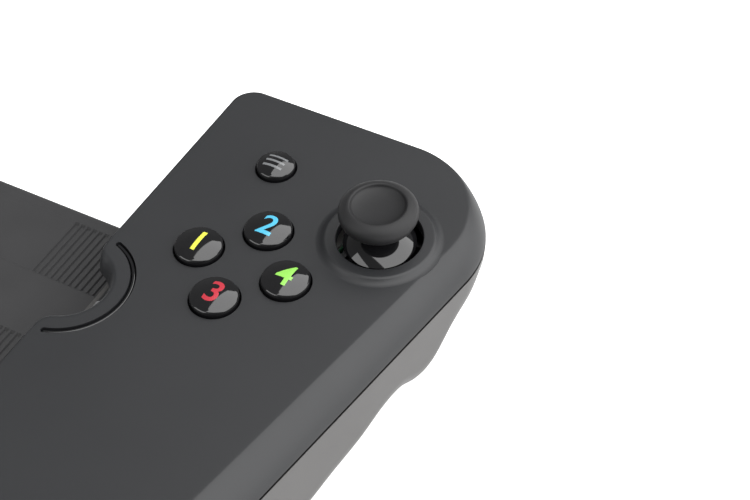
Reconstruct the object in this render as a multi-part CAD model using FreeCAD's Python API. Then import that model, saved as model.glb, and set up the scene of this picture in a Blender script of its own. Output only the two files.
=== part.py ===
import FreeCAD, Part
import math
import os

# A clip-on game controller for a tablet: two grips that hold the tablet's short ends,
# joined by a flexible strap that runs behind it. Millimetres, +Z out of the face,
# +X to the right hand grip, +Y away from the player, Z = 0 on the table it lies on.
V = FreeCAD.Vector

# The tablet that the grips hold
tablet_length = 240.0
tablet_thickness = 6.1
home_button_inset = 10.7
slot_clearance = 0.35

# Heights
face_z = 28.0
lip_rise = 5.0
parting_z = 21.5
face_wall = 2.2
wall = 2.2
rear_wall = 2.6

# Plan of a grip
lip_overlap = 9.8
grip_width = 70.6
grip_height = 138.0
top_corner_radius = 23.5
bottom_corner_radius = 20.0
inner_corner_radius = 6.0
side_taper = math.radians(8.1)
edge_roll = 5.0
rim_fillet = 6.0
seam_gap = 0.4
seam_depth = 1.0

# Notch in the right lip that leaves the tablet's home button free
notch_radius = 8.2
notch_corner_radius = 3.5
arc_slot_radius = 13.95
arc_slot_width = 1.3
arc_slot_depth = 3.0
arc_half_angle = math.radians(74.0)
arc_recess = 0.3
arc_clearance = 0.25

# Controls on the face, measured from the middle of the home button
diamond_offset = (30.4, 20.1)
diamond_spacing = 10.6
menu_offset = (21.8, 48.1)
stick_offset = (52.4, 39.4)
button_radius = 5.15
menu_radius = 4.25
button_clearance = 0.3
button_rise = 2.2
button_flange = 0.9
button_lip = 0.7
pad_cross = 22.0
pad_arm = 7.6
pad_rise = 2.4
pad_pivot_drop = 4.6
pad_rod_radius = 0.8
pad_rod_reach = 7.4
pad_peg_offset = 9.4
pad_peg_radius = 1.2
pad_ear = (1.9, 2.6, 4.4)
pad_gap = 0.45

# Stick
well_radius = 9.25
collar_land_radius = 11.6
collar_radius = 13.0
collar_rise = 1.0
stick_pivot_drop = 9.0
skirt_radius = 11.0
skirt_rim_radius = 7.75
skirt_wall = 1.1
neck_radius = 3.2
cap_radius = 8.45
cap_equator_rise = 8.7
cap_height = 5.8
cap_dish_radius = 6.0
cap_dish_depth = 1.5
module_size = 17.0
module_wall = 1.2
module_depth = 6.8
module_rise = 2.4
trunnion_radius = 1.5
shaft_radius = 1.5
stick_pin_radius = 0.9
running_gap = 0.05
axle_end_gap = 0.3
arch_radius = 6.4
arch_thickness = 1.1
arch_width = 6.4

# Shoulder controls at the far end
shoulder_width = 38.0
shoulder_start = 17.8
shoulder_gap = 0.4
bumper_height = 5.2
bumper_depth = 7.2
trigger_inset = 7.5
trigger_axis_z = 12.8
trigger_radius = 12.8
trigger_pin_radius = 1.0
trigger_wall = 2.2
rib_thickness = 2.2

# Boards, mats, screws and feet
board_thickness = 1.2
board_near_y = -38.0
post_start = 2.2
board_top = 20.4
mat_thickness = 0.8
press_gap = 0.3
column_radius = 4.2
screw_radius = 1.2
screw_head_radius = 2.4
screw_head_height = 1.6
screw_recess_gap = 0.3
board_post_radius = 2.0
foot_width = 24.0
foot_recess = 1.2
near_foot_z = 0.6
far_foot_z = 3.0

# Sockets in the right grip's near end
jack_radius = 1.8
jack_length = 13.0
jack_inset = 31.8
charge_inset = 21.3
jack_z = 16.5
charge_width = 8.9
charge_height = 3.2
jack_block = 2.9

# Plug that goes into the tablet
plug_width = 6.7
plug_thickness = 1.5
plug_length = 6.7
plug_collar = (8.0, 2.8)

# Strap behind the tablet
strap_width = 56.0
strap_thickness = 2.2
strap_bottom = 12.3
strap_clearance = 0.2
strap_grip = 9.0
fold_inset = 10.0
fold_clearance = 0.3
clamp_thickness = 0.6
cable_width = 12.0
cable_thickness = 0.3

# Places worked out from the sizes above
home_x = tablet_length / 2.0 - home_button_inset
inner_edge_x = tablet_length / 2.0 - lip_overlap
outer_edge_x = inner_edge_x + grip_width
slot_end_x = tablet_length / 2.0 + slot_clearance
jack_x = inner_edge_x + jack_inset
charge_x = inner_edge_x + charge_inset
cavity_x = slot_end_x + wall
glass_z = face_z - lip_rise
socket_board_top = jack_z - jack_block
charge_z = socket_board_top + charge_height / 2.0
slot_top = glass_z + slot_clearance
slot_bottom = glass_z - tablet_thickness - slot_clearance
ceiling_z = face_z - face_wall
board_bottom = board_top - board_thickness
mat_top = board_top + mat_thickness
stick_x = home_x + stick_offset[0]
stick_y = stick_offset[1]
pivot_z = face_z - stick_pivot_drop
land_z = face_z + collar_rise
fold_x = inner_edge_x - fold_inset
fold_z = strap_bottom + strap_thickness / 2.0
strap_top = strap_bottom + strap_thickness
flange_bottom = ceiling_z - 1.4
mat_dome_top = flange_bottom - press_gap
pad_pivot_z = face_z - pad_pivot_drop
pad_bottom = ceiling_z + 0.3
shoulder_x0 = inner_edge_x + shoulder_start
shoulder_x1 = shoulder_x0 + shoulder_width
grip_end_y = grip_height / 2.0
trigger_pivot = (grip_end_y - trigger_inset, trigger_axis_z)
diamond = V(home_x + diamond_offset[0], diamond_offset[1], 0)
menu = V(home_x + menu_offset[0], menu_offset[1], 0)

# Underside of a grip seen from the outer side, as (y, z): near end, palm swell,
# finger groove, shoulder hump and the shallow far end
side_profile = [
    (-grip_end_y - 5.0, 9.0), (-grip_end_y, 6.0), (9.0 - grip_end_y, 2.2), (19.0 - grip_end_y, 0.6), (-31.0, 0.6),
    (-12.0, 0.6), (-4.0, 2.0), (6.0, 3.5), (14.0, 5.8), (20.0, 6.0), (26.0, 3.3), (31.0, 3.0),
    (38.0, 6.6), (46.0, 9.0), (grip_end_y - 11.0, 11.6), (grip_end_y, 14.0), (grip_end_y + 5.0, 15.0)]
# Underside seen from the near end, as (x, z): thin jaw under the tablet, then the swell
end_profile = [
    (inner_edge_x - 6.0, 10.6), (inner_edge_x + 2.0, 10.6), (inner_edge_x + 9.0, 9.4),
    (inner_edge_x + 18.0, 4.6), (inner_edge_x + 26.0, 1.2), (inner_edge_x + 34.0, 0.0)]
# Screws that close a grip: place, and the height of the seat under the head
screws = [(inner_edge_x + 17.0, -46.5, 9.0), (inner_edge_x + 43.0, -57.0, 6.0),
          (outer_edge_x - 10.5, 8.0, 8.0), (inner_edge_x + 15.5, 35.0, 10.0)]
# Rubber feet: middle, and length along Y
feet = [(inner_edge_x + 40.0, -34.0, 8.0), (inner_edge_x + 40.0, 28.5, 5.0)]


def arc(p, m, q):
    return Part.Arc(p, m, q).toShape()


def box(x0, x1, y0, y1, z0, z1):
    return Part.makeBox(x1 - x0, y1 - y0, z1 - z0, V(x0, y0, z0))


def post(radius, z0, z1, x, y):
    return Part.makeCylinder(radius, z1 - z0, V(x, y, z0))


def rod_x(radius, x0, x1, y, z):
    return Part.makeCylinder(radius, x1 - x0, V(x0, y, z), V(1, 0, 0))


def rod_y(radius, y0, y1, x, z):
    return Part.makeCylinder(radius, y1 - y0, V(x, y0, z), V(0, 1, 0))


def turned(points, x, y):
    """Solid of revolution about a vertical axis: each entry is (r, z), or a pair of
    points, the middle and the end of an arc."""
    edges = []
    last = V(points[0][0], 0, points[0][1])
    for item in points[1:] + [points[0]]:
        if isinstance(item[0], tuple):
            mid = V(item[0][0], 0, item[0][1])
            end = V(item[1][0], 0, item[1][1])
            edges.append(arc(last, mid, end))
        else:
            end = V(item[0], 0, item[1])
            if end.distanceToPoint(last) > 1e-7:
                edges.append(Part.makeLine(last, end))
        last = end
    solid = Part.Face(Part.Wire(edges)).revolve(V(0, 0, 0), V(0, 0, 1), 360)
    solid.translate(V(x, y, 0))
    return solid


def to_axis(r, z, z_axis):
    """Arc of a sphere centred on the axis, from (r, z) to (0, z_axis), for turned()."""
    height = z_axis - z
    sphere = (r * r + height * height) / (2.0 * height)
    half = math.asin(r / abs(sphere)) / 2.0
    return (abs(sphere) * math.sin(half), z_axis - sphere * (1.0 - math.cos(half))), (0, z_axis)


def rounded_slot(width, height, y0, y1, x, z):
    """Bar along Y with a stadium section, wide in X."""
    r = height / 2.0
    half = width / 2.0 - r
    bar = box(x - half, x + half, y0, y1, z - r, z + r)
    return bar.fuse([rod_y(r, y0, y1, x - half, z), rod_y(r, y0, y1, x + half, z)]).removeSplitter()


def mirrored(shape):
    return shape.mirror(V(0, 0, 0), V(1, 0, 0))


def grip_outline(z, side=0.0, end=0.0, inner=0.0, notch=0.0):
    """Closed plan of a grip at height z, drawn in by an inset on its outer side, its two
    ends and its inner edge, with the home button notch where one is given."""
    half = grip_end_y - end
    x_in = inner_edge_x + inner
    c, s = math.cos(side_taper), math.sin(side_taper)
    r1 = top_corner_radius - (side + end) / 2.0
    r2 = bottom_corner_radius - (side + end) / 2.0
    r3 = max(inner_corner_radius - (end + inner) / 2.0, 0.8)
    line_offset = (c * (outer_edge_x - top_corner_radius)
                   - s * (grip_end_y - top_corner_radius) + top_corner_radius - side)
    y1 = half - r1
    x1 = (line_offset - r1 + s * y1) / c
    y2 = -half + r2
    x2 = (line_offset - r2 + s * y2) / c
    up = (math.pi / 2.0 - side_taper) / 2.0
    down = (-math.pi / 2.0 - side_taper) / 2.0
    d = r3 * (1.0 - math.sqrt(0.5))

    def at(x, y):
        return V(x, y, z)

    p1, p2 = at(x_in + r3, half), at(x1, half)
    p3, p4 = at(x1 + r1 * c, y1 - r1 * s), at(x2 + r2 * c, y2 - r2 * s)
    p5, p6 = at(x2, -half), at(x_in + r3, -half)
    p7, p8 = at(x_in, -half + r3), at(x_in, half - r3)
    edges = [
        Part.makeLine(p1, p2),
        arc(p2, at(x1 + r1 * math.cos(up), y1 + r1 * math.sin(up)), p3),
        Part.makeLine(p3, p4),
        arc(p4, at(x2 + r2 * math.cos(down), y2 + r2 * math.sin(down)), p5),
        Part.makeLine(p5, p6),
        arc(p6, at(x_in + d, -half + d), p7)]
    if notch:
        edges += notch_edges(at, x_in, notch, p7, p8)
    else:
        edges.append(Part.makeLine(p7, p8))
    edges.append(arc(p8, at(x_in + d, half - d), p1))
    return Part.Wire(edges)


def notch_edges(at, x_in, notch, start, stop):
    """Inner edge from start to stop, with a round notch about the home button whose two
    corners are rounded off."""
    rc = notch_corner_radius
    kx = x_in + rc
    ky = math.sqrt((notch + rc) ** 2 - (kx - home_x) ** 2)
    share = notch / (notch + rc)
    ux, uy = (home_x - kx) / (notch + rc) - 1.0, ky / (notch + rc)
    length = math.hypot(ux, uy)
    mx, my = rc * ux / length, rc * uy / length
    n1, n4 = at(x_in, -ky), at(x_in, ky)
    n2 = at(home_x + (kx - home_x) * share, -ky * share)
    n3 = at(n2.x, -n2.y)
    return [Part.makeLine(start, n1), arc(n1, at(kx + mx, -ky + my), n2),
            arc(n2, at(home_x + notch, 0), n3), arc(n3, at(kx + mx, ky - my), n4),
            Part.makeLine(n4, stop)]


def grip_prism(z0, z1, side=0.0, end=0.0, inner=0.0):
    return Part.Face(grip_outline(z0, side, end, inner)).extrude(V(0, 0, z1 - z0))


def top_skin(has_notch):
    """Outside of the top half: a flat face with a soft roll, wide on the outer side."""
    height = face_z - parting_z
    roll = [(0.0, 0.0, 0.0, 0.0, 0.0), (0.34, 0.16, 0.07, 0.1, 0.0),
            (0.63, 0.40, 0.16, 0.25, 0.4), (0.85, 0.70, 0.26, 0.6, 1.1),
            (1.0, 1.0, 0.40, 1.4, 2.2)]
    wires = []
    for share, side, end, inner, flare in roll:
        notch = notch_radius + flare if has_notch else 0.0
        wires.append(grip_outline(parting_z + height * share, edge_roll * side,
                                  edge_roll * end, inner, notch))
    return Part.makeLoft(wires, True, False)


def top_hollow():
    """Inside of the top half, from the slot's end wall to the outer wall."""
    inner = cavity_x - inner_edge_x
    low, high = parting_z, ceiling_z
    wires = [grip_outline(low, wall, wall, inner),
             grip_outline(low + (high - low) * 0.5, wall + edge_roll * 0.16, wall, inner),
             grip_outline(high, wall + edge_roll * 0.45, wall + edge_roll * 0.2, inner)]
    return Part.makeLoft(wires, True, True)


def slot_space():
    """The gap that the tablet's end slides into."""
    return box(inner_edge_x - 20, slot_end_x, -grip_end_y - 10, grip_end_y + 10,
               slot_bottom, slot_top)


def stick_collar():
    """Raised ring round the stick's well, with a rolled outer edge."""
    mid_r = (collar_land_radius + collar_radius) / 2.0 + 0.2
    return turned([(well_radius - 1, ceiling_z), (collar_radius, ceiling_z),
                   (collar_radius, face_z),
                   ((mid_r, face_z + collar_rise * 0.7), (collar_land_radius, land_z)),
                   (well_radius - 1, land_z)], stick_x, stick_y)


def screw_bosses(z0, z1, radius):
    return [post(radius, z0, z1, x, y) for x, y, seat in screws]


def button_hole(radius, place):
    return post(radius + button_clearance, ceiling_z - 1, face_z + 3, place.x, place.y)


def face_button_places():
    d = diamond_spacing
    return {"face_button_lower": diamond + V(0, -d, 0), "face_button_outer": diamond + V(d, 0, 0),
            "face_button_inner": diamond + V(-d, 0, 0), "face_button_upper": diamond + V(0, d, 0)}


def cross_prism(size, arm, z0, z1, rounding):
    """Plus shaped prism about the direction pad's middle, its corners rounded."""
    half, a = size / 2.0, arm / 2.0
    x, y = diamond.x, diamond.y
    bars = box(x - half, x + half, y - a, y + a, z0, z1)
    cross = bars.fuse(box(x - a, x + a, y - half, y + half, z0, z1)).removeSplitter()
    upright = [e for e in cross.Edges if e.BoundBox.ZLength > 0.9 * (z1 - z0)]
    return cross.makeFillet(rounding, upright)


def arc_band(inner_r, outer_r, half_angle, z0, z1):
    """Curved bar about the home button, open towards the tablet, with square ends."""
    def at(r, a):
        return V(home_x + r * math.cos(a), r * math.sin(a), z0)
    edges = [arc(at(outer_r, -half_angle), at(outer_r, 0), at(outer_r, half_angle)),
             Part.makeLine(at(outer_r, half_angle), at(inner_r, half_angle)),
             arc(at(inner_r, half_angle), at(inner_r, 0), at(inner_r, -half_angle)),
             Part.makeLine(at(inner_r, -half_angle), at(outer_r, -half_angle))]
    return Part.Face(Part.Wire(edges)).extrude(V(0, 0, z1 - z0))


def top_shell(is_right):
    """Face half of a grip: skin less hollow, with the controls' openings."""
    shell = top_skin(is_right)
    hollow = top_hollow()
    if is_right:
        hollow = hollow.cut(post(arc_slot_radius + 2.4, slot_top, face_z, home_x, 0))
    shell = shell.cut([hollow, slot_space()])
    shell = shell.fuse([stick_collar()] + screw_bosses(parting_z, ceiling_z + 0.5, column_radius - 1.0))
    cuts = [post(well_radius, parting_z - 1, land_z + 1, stick_x, stick_y)]
    cuts += [post(screw_radius + running_gap, parting_z - 1, ceiling_z - 0.6, x, y) for x, y, seat in screws]
    if is_right:
        cuts += [button_hole(button_radius, p) for p in face_button_places().values()]
        cuts.append(button_hole(menu_radius, menu))
        half_w = arc_slot_width / 2.0
        cuts.append(arc_band(arc_slot_radius - half_w, arc_slot_radius + half_w,
                             arc_half_angle + 0.02, face_z - arc_slot_depth, face_z + 2))
    else:
        cuts.append(cross_prism(pad_cross + 2 * pad_gap, pad_arm + 2 * pad_gap, ceiling_z - 1,
                                face_z + 3, 1.4))
    return shell.cut(cuts).removeSplitter()


def underside(profile_rise):
    """Space above the grip's underside, lifted by a wall's thickness for the inside."""
    far = 60.0
    side = Part.BSplineCurve()
    side.interpolate([V(0, y, z + profile_rise) for y, z in side_profile])
    a, b = side.StartPoint, side.EndPoint
    ring = Part.Wire([side.toShape(), Part.makeLine(b, V(0, b.y, far)),
                      Part.makeLine(V(0, b.y, far), V(0, a.y, far)), Part.makeLine(V(0, a.y, far), a)])
    face = Part.Face(ring)
    face.translate(V(inner_edge_x - 6, 0, 0))
    along_x = face.extrude(V(grip_width + 12, 0, 0))
    end = Part.BSplineCurve()
    end.interpolate([V(x, -grip_end_y - 8, z + profile_rise) for x, z in end_profile])
    a, b = end.StartPoint, end.EndPoint
    c = V(outer_edge_x + 8, b.y, b.z)
    ring = Part.Wire([end.toShape(), Part.makeLine(b, c), Part.makeLine(c, V(c.x, c.y, far)),
                      Part.makeLine(V(c.x, c.y, far), V(a.x, a.y, far)),
                      Part.makeLine(V(a.x, a.y, far), a)])
    along_y = Part.Face(ring).extrude(V(0, grip_height + 16, 0))
    return along_x.common(along_y)


def bottom_skin():
    """Outside of the bottom half: plan cut by the underside, its outer rim rounded."""
    body = grip_prism(-2, parting_z).common(underside(0.0))

    def on_rim(edge):
        b = edge.BoundBox
        upright = b.XLength < 1e-3 and b.YLength < 1e-3
        inner_side = b.YMin > -60 and b.YMax < 60 and b.XMax < stick_x - 10
        return b.ZMax < parting_z - 0.5 and b.XMax > inner_edge_x + 30 and not upright and not inner_side

    return body.makeFillet(rim_fillet, [e for e in body.Edges if on_rim(e)])


def bottom_hollow():
    """Inside of the bottom half; its wall is thick enough to leave over a millimetre
    behind the rounded rim."""
    inner = cavity_x - inner_edge_x
    space = grip_prism(-2, parting_z + 1, rear_wall, rear_wall, inner)
    return space.common(underside(rear_wall))


def seam_groove():
    """Shadow gap round the outside where the two halves meet."""
    ring = grip_prism(parting_z - seam_gap, parting_z, -1, -1, -1)
    return ring.cut(grip_prism(parting_z - seam_gap - 1, parting_z + 1, seam_depth, seam_depth, seam_depth))


def shoulder_window():
    """Opening in the far end for the bumper and the trigger. Its lower edge is an arc
    about the trigger's pin, so the trigger's end keeps the same gap as it turns."""
    py, pz = trigger_pivot
    sweep = rod_x(trigger_radius + shoulder_gap, shoulder_x0, shoulder_x1, py, pz)
    below = box(shoulder_x0, shoulder_x1, py, grip_end_y + 5, -5, parting_z + 1)
    above = box(shoulder_x0, shoulder_x1, py - 4, grip_end_y + 5, pz, parting_z + 1)
    limit = box(shoulder_x0, shoulder_x1, 0, grip_end_y + 5, -5, parting_z + 1)
    return sweep.common(limit).fuse([below, above]).removeSplitter()


def shoulder_ribs(skin):
    """Two upright ribs beside the window that hold the trigger's pin."""
    py = trigger_pivot[0]
    blocks = [box(shoulder_x0 - rib_thickness, shoulder_x0, py - 12, grip_end_y, 5, board_bottom - 0.4),
              box(shoulder_x1, shoulder_x1 + rib_thickness, py - 12, grip_end_y, 5, board_bottom - 0.4)]
    return [b.common(skin) for b in blocks]


def bottom_shell(is_right):
    """Rear half of a grip: skin less hollow, with bosses, slots and sockets."""
    skin = bottom_skin()
    shell = skin.cut(bottom_hollow())
    columns = [post(column_radius, -2, parting_z, x, y).common(skin) for x, y, seat in screws]
    half = module_size / 2.0 - 2.0
    pedestal = box(stick_x - half, stick_x + half, stick_y - half, stick_y + half,
                   2, pivot_z - module_depth)
    posts = [p.common(skin) for p in floor_posts(is_right)]
    shell = shell.fuse(columns + shoulder_ribs(skin) + posts + [pedestal.common(skin)])
    py, pz = trigger_pivot
    cuts = [slot_space(), seam_groove(), shoulder_window(), strap_pocket(),
            rod_x(trigger_pin_radius + 0.03, shoulder_x0 - rib_thickness - 0.1,
                  shoulder_x1 + rib_thickness + 0.1, py, pz)]
    for x, y, seat in screws:
        cuts.append(post(screw_radius + 0.2, -3, parting_z + 1, x, y))
        cuts.append(post(screw_head_radius + screw_recess_gap, -3, seat, x, y))
    for x, y, length in feet:
        cuts.append(foot_block(x, y, length, 0.1, -3).common(foot_limit()))
    if is_right:
        w, h = plug_collar
        mid = glass_z - tablet_thickness / 2.0
        cuts.append(box(slot_end_x - 1, cavity_x + 1, -w / 2 - 0.1, w / 2 + 0.1,
                        mid - h / 2 - 0.1, mid + h / 2 + 0.1))
        inside = -grip_end_y + rear_wall + 1
        cuts.append(rod_y(jack_radius + 0.9, -grip_end_y - 1, inside, jack_x, jack_z))
        cuts.append(rounded_slot(charge_width + 0.4, charge_height + 0.4, -grip_end_y - 1, inside,
                                 charge_x, charge_z))
    return shell.cut(cuts).removeSplitter()


def foot_limit():
    """Depth that a foot's recess is cut to above the table."""
    return box(inner_edge_x, outer_edge_x, -grip_end_y, grip_end_y, -3, far_foot_z + foot_recess)


def foot_block(x, y, length, grow, z0):
    """Rounded bar for a foot or its recess."""
    r = length / 2.0 + grow
    half = foot_width / 2.0 - length / 2.0
    top = (near_foot_z if y < 0 else far_foot_z) + foot_recess
    bar = box(x - half, x + half, y - r, y + r, z0, top)
    return bar.fuse([post(r, z0, top, x - half, y), post(r, z0, top, x + half, y)]).removeSplitter()


def rubber_feet():
    return Part.makeCompound([foot_block(x, y, length, 0.0, 0.0) for x, y, length in feet])


def screw_set():
    """The screws that close a grip, as separate solids."""
    solids = []
    for x, y, seat in screws:
        shank = post(screw_radius, seat - 0.01, ceiling_z - 1.2, x, y)
        head = post(screw_head_radius, seat - screw_head_height, seat, x, y)
        drive = post(0.95, seat - screw_head_height - 1, seat - screw_head_height + 0.9, x, y)
        solids.append(head.fuse(shank).cut(drive).removeSplitter())
    return Part.makeCompound(solids)


def main_board(is_right):
    """Printed circuit board under the face, cleared round a screw column and the stick.
    A small switch hangs under its far edge, behind the bumper."""
    x0, x1 = cavity_x + 1.8, stick_x - module_size / 2.0 - 1.2
    far = grip_end_y - bumper_depth - 1.2
    board = box(x0, x1, board_near_y, far, board_bottom, board_top)
    x, y, seat = screws[3]
    board = board.cut(post(column_radius + 0.4, board_bottom - 1, board_top + 1, x, y))
    mid = (x0 + x1) / 2.0
    switch = box(mid - 3, mid + 3, far - 3.0, far + 0.1, board_bottom - 2.6, board_bottom)
    board = board.fuse(switch)
    if not is_right:
        bore = rod_x(pad_rod_radius + running_gap, x0, x1, diamond.y, pad_pivot_z)
        board = board.fuse(pad_posts()).cut(bore)
    return board.removeSplitter()


def floor_posts(is_right):
    """Posts on the bottom half that carry the main board, and in the right hand grip the
    small board with the sockets."""
    x0, x1 = cavity_x + 4.6, stick_x - module_size / 2.0 - 4.0
    y0, y1 = board_near_y + 4.0, 10.0
    posts = [post(board_post_radius, post_start, board_bottom, x, y)
             for x, y in ((x0, y0), (x1, y0), (x1, y1), (x0, y1))]
    if is_right:
        posts += [post(board_post_radius, post_start, socket_board_top - board_thickness, x, -grip_end_y + 13)
                  for x in (charge_x - 3, jack_x + 2)]
    return posts


def dome(place, radius, top):
    """Silicone dome that a button presses."""
    return turned([(0, mat_top - 0.1), (radius, mat_top - 0.1), (radius - 0.8, top), (0, top)],
                  place.x, place.y)


def button_mat():
    """Silicone sheet on the right board, with a dome under each button."""
    top = mat_dome_top
    sheet = box(cavity_x + 2.4, stick_x - module_size / 2.0 - 1.6, 4, grip_end_y - 15,
                board_top, mat_top)
    x, y, seat = screws[3]
    sheet = sheet.cut(post(column_radius + 0.4, board_top - 1, mat_top + 1, x, y))
    domes = [dome(p, button_radius - 1.2, top) for p in face_button_places().values()]
    return sheet.fuse(domes + [dome(menu, menu_radius - 1.0, top)]).removeSplitter()


def pad_mat():
    """Silicone sheet on the left board, with a dome under each of the pad's arms and
    holes for the pivot's posts."""
    half = pad_cross / 2.0 + 1.5
    sheet = box(diamond.x - half, diamond.x + half, diamond.y - half, diamond.y + half,
                board_top, mat_top)
    x, y, seat = screws[3]
    holes = [post(column_radius + 0.4, board_top - 1, mat_top + 1, x, y)]
    for side in (-1, 1):
        mid = diamond.x + side * (pad_rod_reach - 0.9)
        holes.append(box(mid - 1.1, mid + 1.1, diamond.y - 2, diamond.y + 2, board_top - 1, mat_top + 1))
    domes = [dome(p, pad_peg_radius + 0.9, mat_dome_top) for p in pad_corners(pad_peg_offset)]
    return sheet.cut(holes).fuse(domes).removeSplitter()


def round_button(radius, place):
    """Glossy button with a low dome on top and a flange that keeps it in the shell."""
    side_top = face_z + button_rise * 0.58
    crown = face_z + button_rise
    edge = radius - 0.65
    lip = radius + button_lip
    profile = [(0, flange_bottom), (lip, flange_bottom), (lip, flange_bottom + button_flange),
               (radius, flange_bottom + button_flange), (radius, side_top - 0.7),
               ((radius - 0.16, side_top - 0.12), (edge, side_top + 0.16)),
               to_axis(edge, side_top + 0.16, crown)]
    return turned(profile, place.x, place.y)


def arc_insert():
    """Glossy strip that lies in the arc slot round the home button."""
    half_w = arc_slot_width / 2.0 - arc_clearance
    return arc_band(arc_slot_radius - half_w, arc_slot_radius + half_w, arc_half_angle,
                    face_z - arc_slot_depth, face_z - arc_recess)


def pad_corners(reach):
    """The four places round the direction pad's middle that its arms press."""
    return [diamond + V(reach, 0, 0), diamond + V(-reach, 0, 0), diamond + V(0, reach, 0),
            diamond + V(0, -reach, 0)]


def pad_ear_boxes(rise):
    """Two ears under the direction pad, one each side of its pivot."""
    half, y0, y1 = pad_ear
    low = pad_pivot_z - pad_rod_radius - 0.8
    x, y = diamond.x, diamond.y
    return [box(x - half, x + half, y + y0, y + y1, low, rise),
            box(x - half, x + half, y - y1, y - y0, low, rise)]


def direction_pad():
    """Cross with a dished top, two ears that ride on the pivot, and a peg under each arm."""
    top = face_z + pad_rise
    cross = cross_prism(pad_cross, pad_arm, pad_bottom, top, 1.0)
    rim = [e for e in cross.Edges if e.BoundBox.ZMin > top - 0.01]
    cross = cross.makeFillet(0.7, rim)
    dish_radius = 26.0
    dish = Part.makeSphere(dish_radius, V(diamond.x, diamond.y, top + dish_radius - 0.7))
    pegs = [post(pad_peg_radius, mat_dome_top + press_gap, pad_bottom + 0.5, p.x, p.y)
            for p in pad_corners(pad_peg_offset)]
    bore = rod_y(pad_rod_radius + running_gap, diamond.y - 6, diamond.y + 6, diamond.x, pad_pivot_z)
    return cross.cut(dish).fuse(pegs + pad_ear_boxes(pad_bottom + 0.5)).cut(bore).removeSplitter()


def pad_pivot():
    """Cross shaped pivot: one rod turns in the board's posts, the other carries the pad."""
    x, y = diamond.x, diamond.y
    reach_y = pad_ear[2] + 0.2
    block = box(x - 1.7, x + 1.7, y - 1.7, y + 1.7, pad_pivot_z - 1.1, pad_pivot_z + 1.1)
    return block.fuse([rod_x(pad_rod_radius, x - pad_rod_reach, x + pad_rod_reach, y, pad_pivot_z),
                       rod_y(pad_rod_radius, y - reach_y, y + reach_y, x, pad_pivot_z)]).removeSplitter()


def pad_posts():
    """Two posts on the left board with the pivot's bearings."""
    x, y = diamond.x, diamond.y
    top = pad_pivot_z + pad_rod_radius + 0.7
    return [box(x - pad_rod_reach + 0.1, x - pad_rod_reach + 1.7, y - 1.7, y + 1.7, board_top, top),
            box(x + pad_rod_reach - 1.7, x + pad_rod_reach - 0.1, y - 1.7, y + 1.7, board_top, top)]


def stick_cap():
    """Soft cap: a rounded ring with a dished top, hollow for the stem's head."""
    eq = face_z + cap_equator_rise
    top = eq + cap_height * 0.34
    low = top - cap_height
    crest = (cap_radius + cap_dish_radius) / 2.0 - 0.35
    profile = [(0, low + 2.4), (neck_radius + running_gap, low + 2.4),
               (neck_radius + running_gap, low), (cap_radius * 0.55, low),
               ((cap_radius * 0.89, low + cap_height * 0.24), (cap_radius, eq)),
               ((cap_radius * 0.955, eq + cap_height * 0.2), (crest, top)),
               ((cap_dish_radius + 0.45, top - 0.25), (cap_dish_radius, top - 0.75)),
               to_axis(cap_dish_radius, top - 0.75, top - cap_dish_depth)]
    return turned(profile, stick_x, stick_y)


def stick_stem():
    """Stem of the stick: round skirt about the pivot, neck, and a shaft down to the pin."""
    eq = face_z + cap_equator_rise
    low = eq + cap_height * 0.34 - cap_height
    rim_z = pivot_z + math.sqrt(skirt_radius ** 2 - skirt_rim_radius ** 2)
    inner = skirt_radius - skirt_wall
    in_rim_r = skirt_rim_radius - 0.5
    in_rim_z = pivot_z + math.sqrt(inner ** 2 - in_rim_r ** 2)
    foot_r = neck_radius + 0.9
    foot_z = pivot_z + math.sqrt(skirt_radius ** 2 - foot_r ** 2)
    mid = math.radians(58.0)
    in_mid = math.radians(60.0)
    shaft_top_z = pivot_z + math.sqrt(inner ** 2 - shaft_radius ** 2)
    profile = [(0, pivot_z - 2.6), (shaft_radius, pivot_z - 2.6), (shaft_radius, shaft_top_z),
               ((inner * math.cos(in_mid), pivot_z + inner * math.sin(in_mid)), (in_rim_r, in_rim_z)),
               (skirt_rim_radius, rim_z),
               ((skirt_radius * math.cos(mid), pivot_z + skirt_radius * math.sin(mid)), (foot_r, foot_z)),
               (neck_radius, foot_z + 0.6), (neck_radius, low + 2.35), (0, low + 2.35)]
    stem = turned(profile, stick_x, stick_y)
    pin = rod_y(stick_pin_radius, stick_y - 3.2, stick_y + 3.2, stick_x, pivot_z)
    return stem.fuse(pin).removeSplitter()


def stick_carrier():
    """Rocker that turns about X in the housing and holds the stem's cross pin."""
    block = box(stick_x - 3.4, stick_x + 3.4, stick_y - 3.3, stick_y + 3.3, pivot_z - 2.0, pivot_z + 2.0)
    reach = module_size / 2.0 - axle_end_gap
    rods = rod_x(trunnion_radius, stick_x - reach, stick_x + reach, stick_y, pivot_z)
    well = box(stick_x - 2.6, stick_x + 2.6, stick_y - shaft_radius - 0.2, stick_y + shaft_radius + 0.2,
               pivot_z - 4, pivot_z + 4)
    bore = rod_y(stick_pin_radius + running_gap, stick_y - 5, stick_y + 5, stick_x, pivot_z)
    return block.fuse(rods).cut([well, bore]).removeSplitter()


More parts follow.
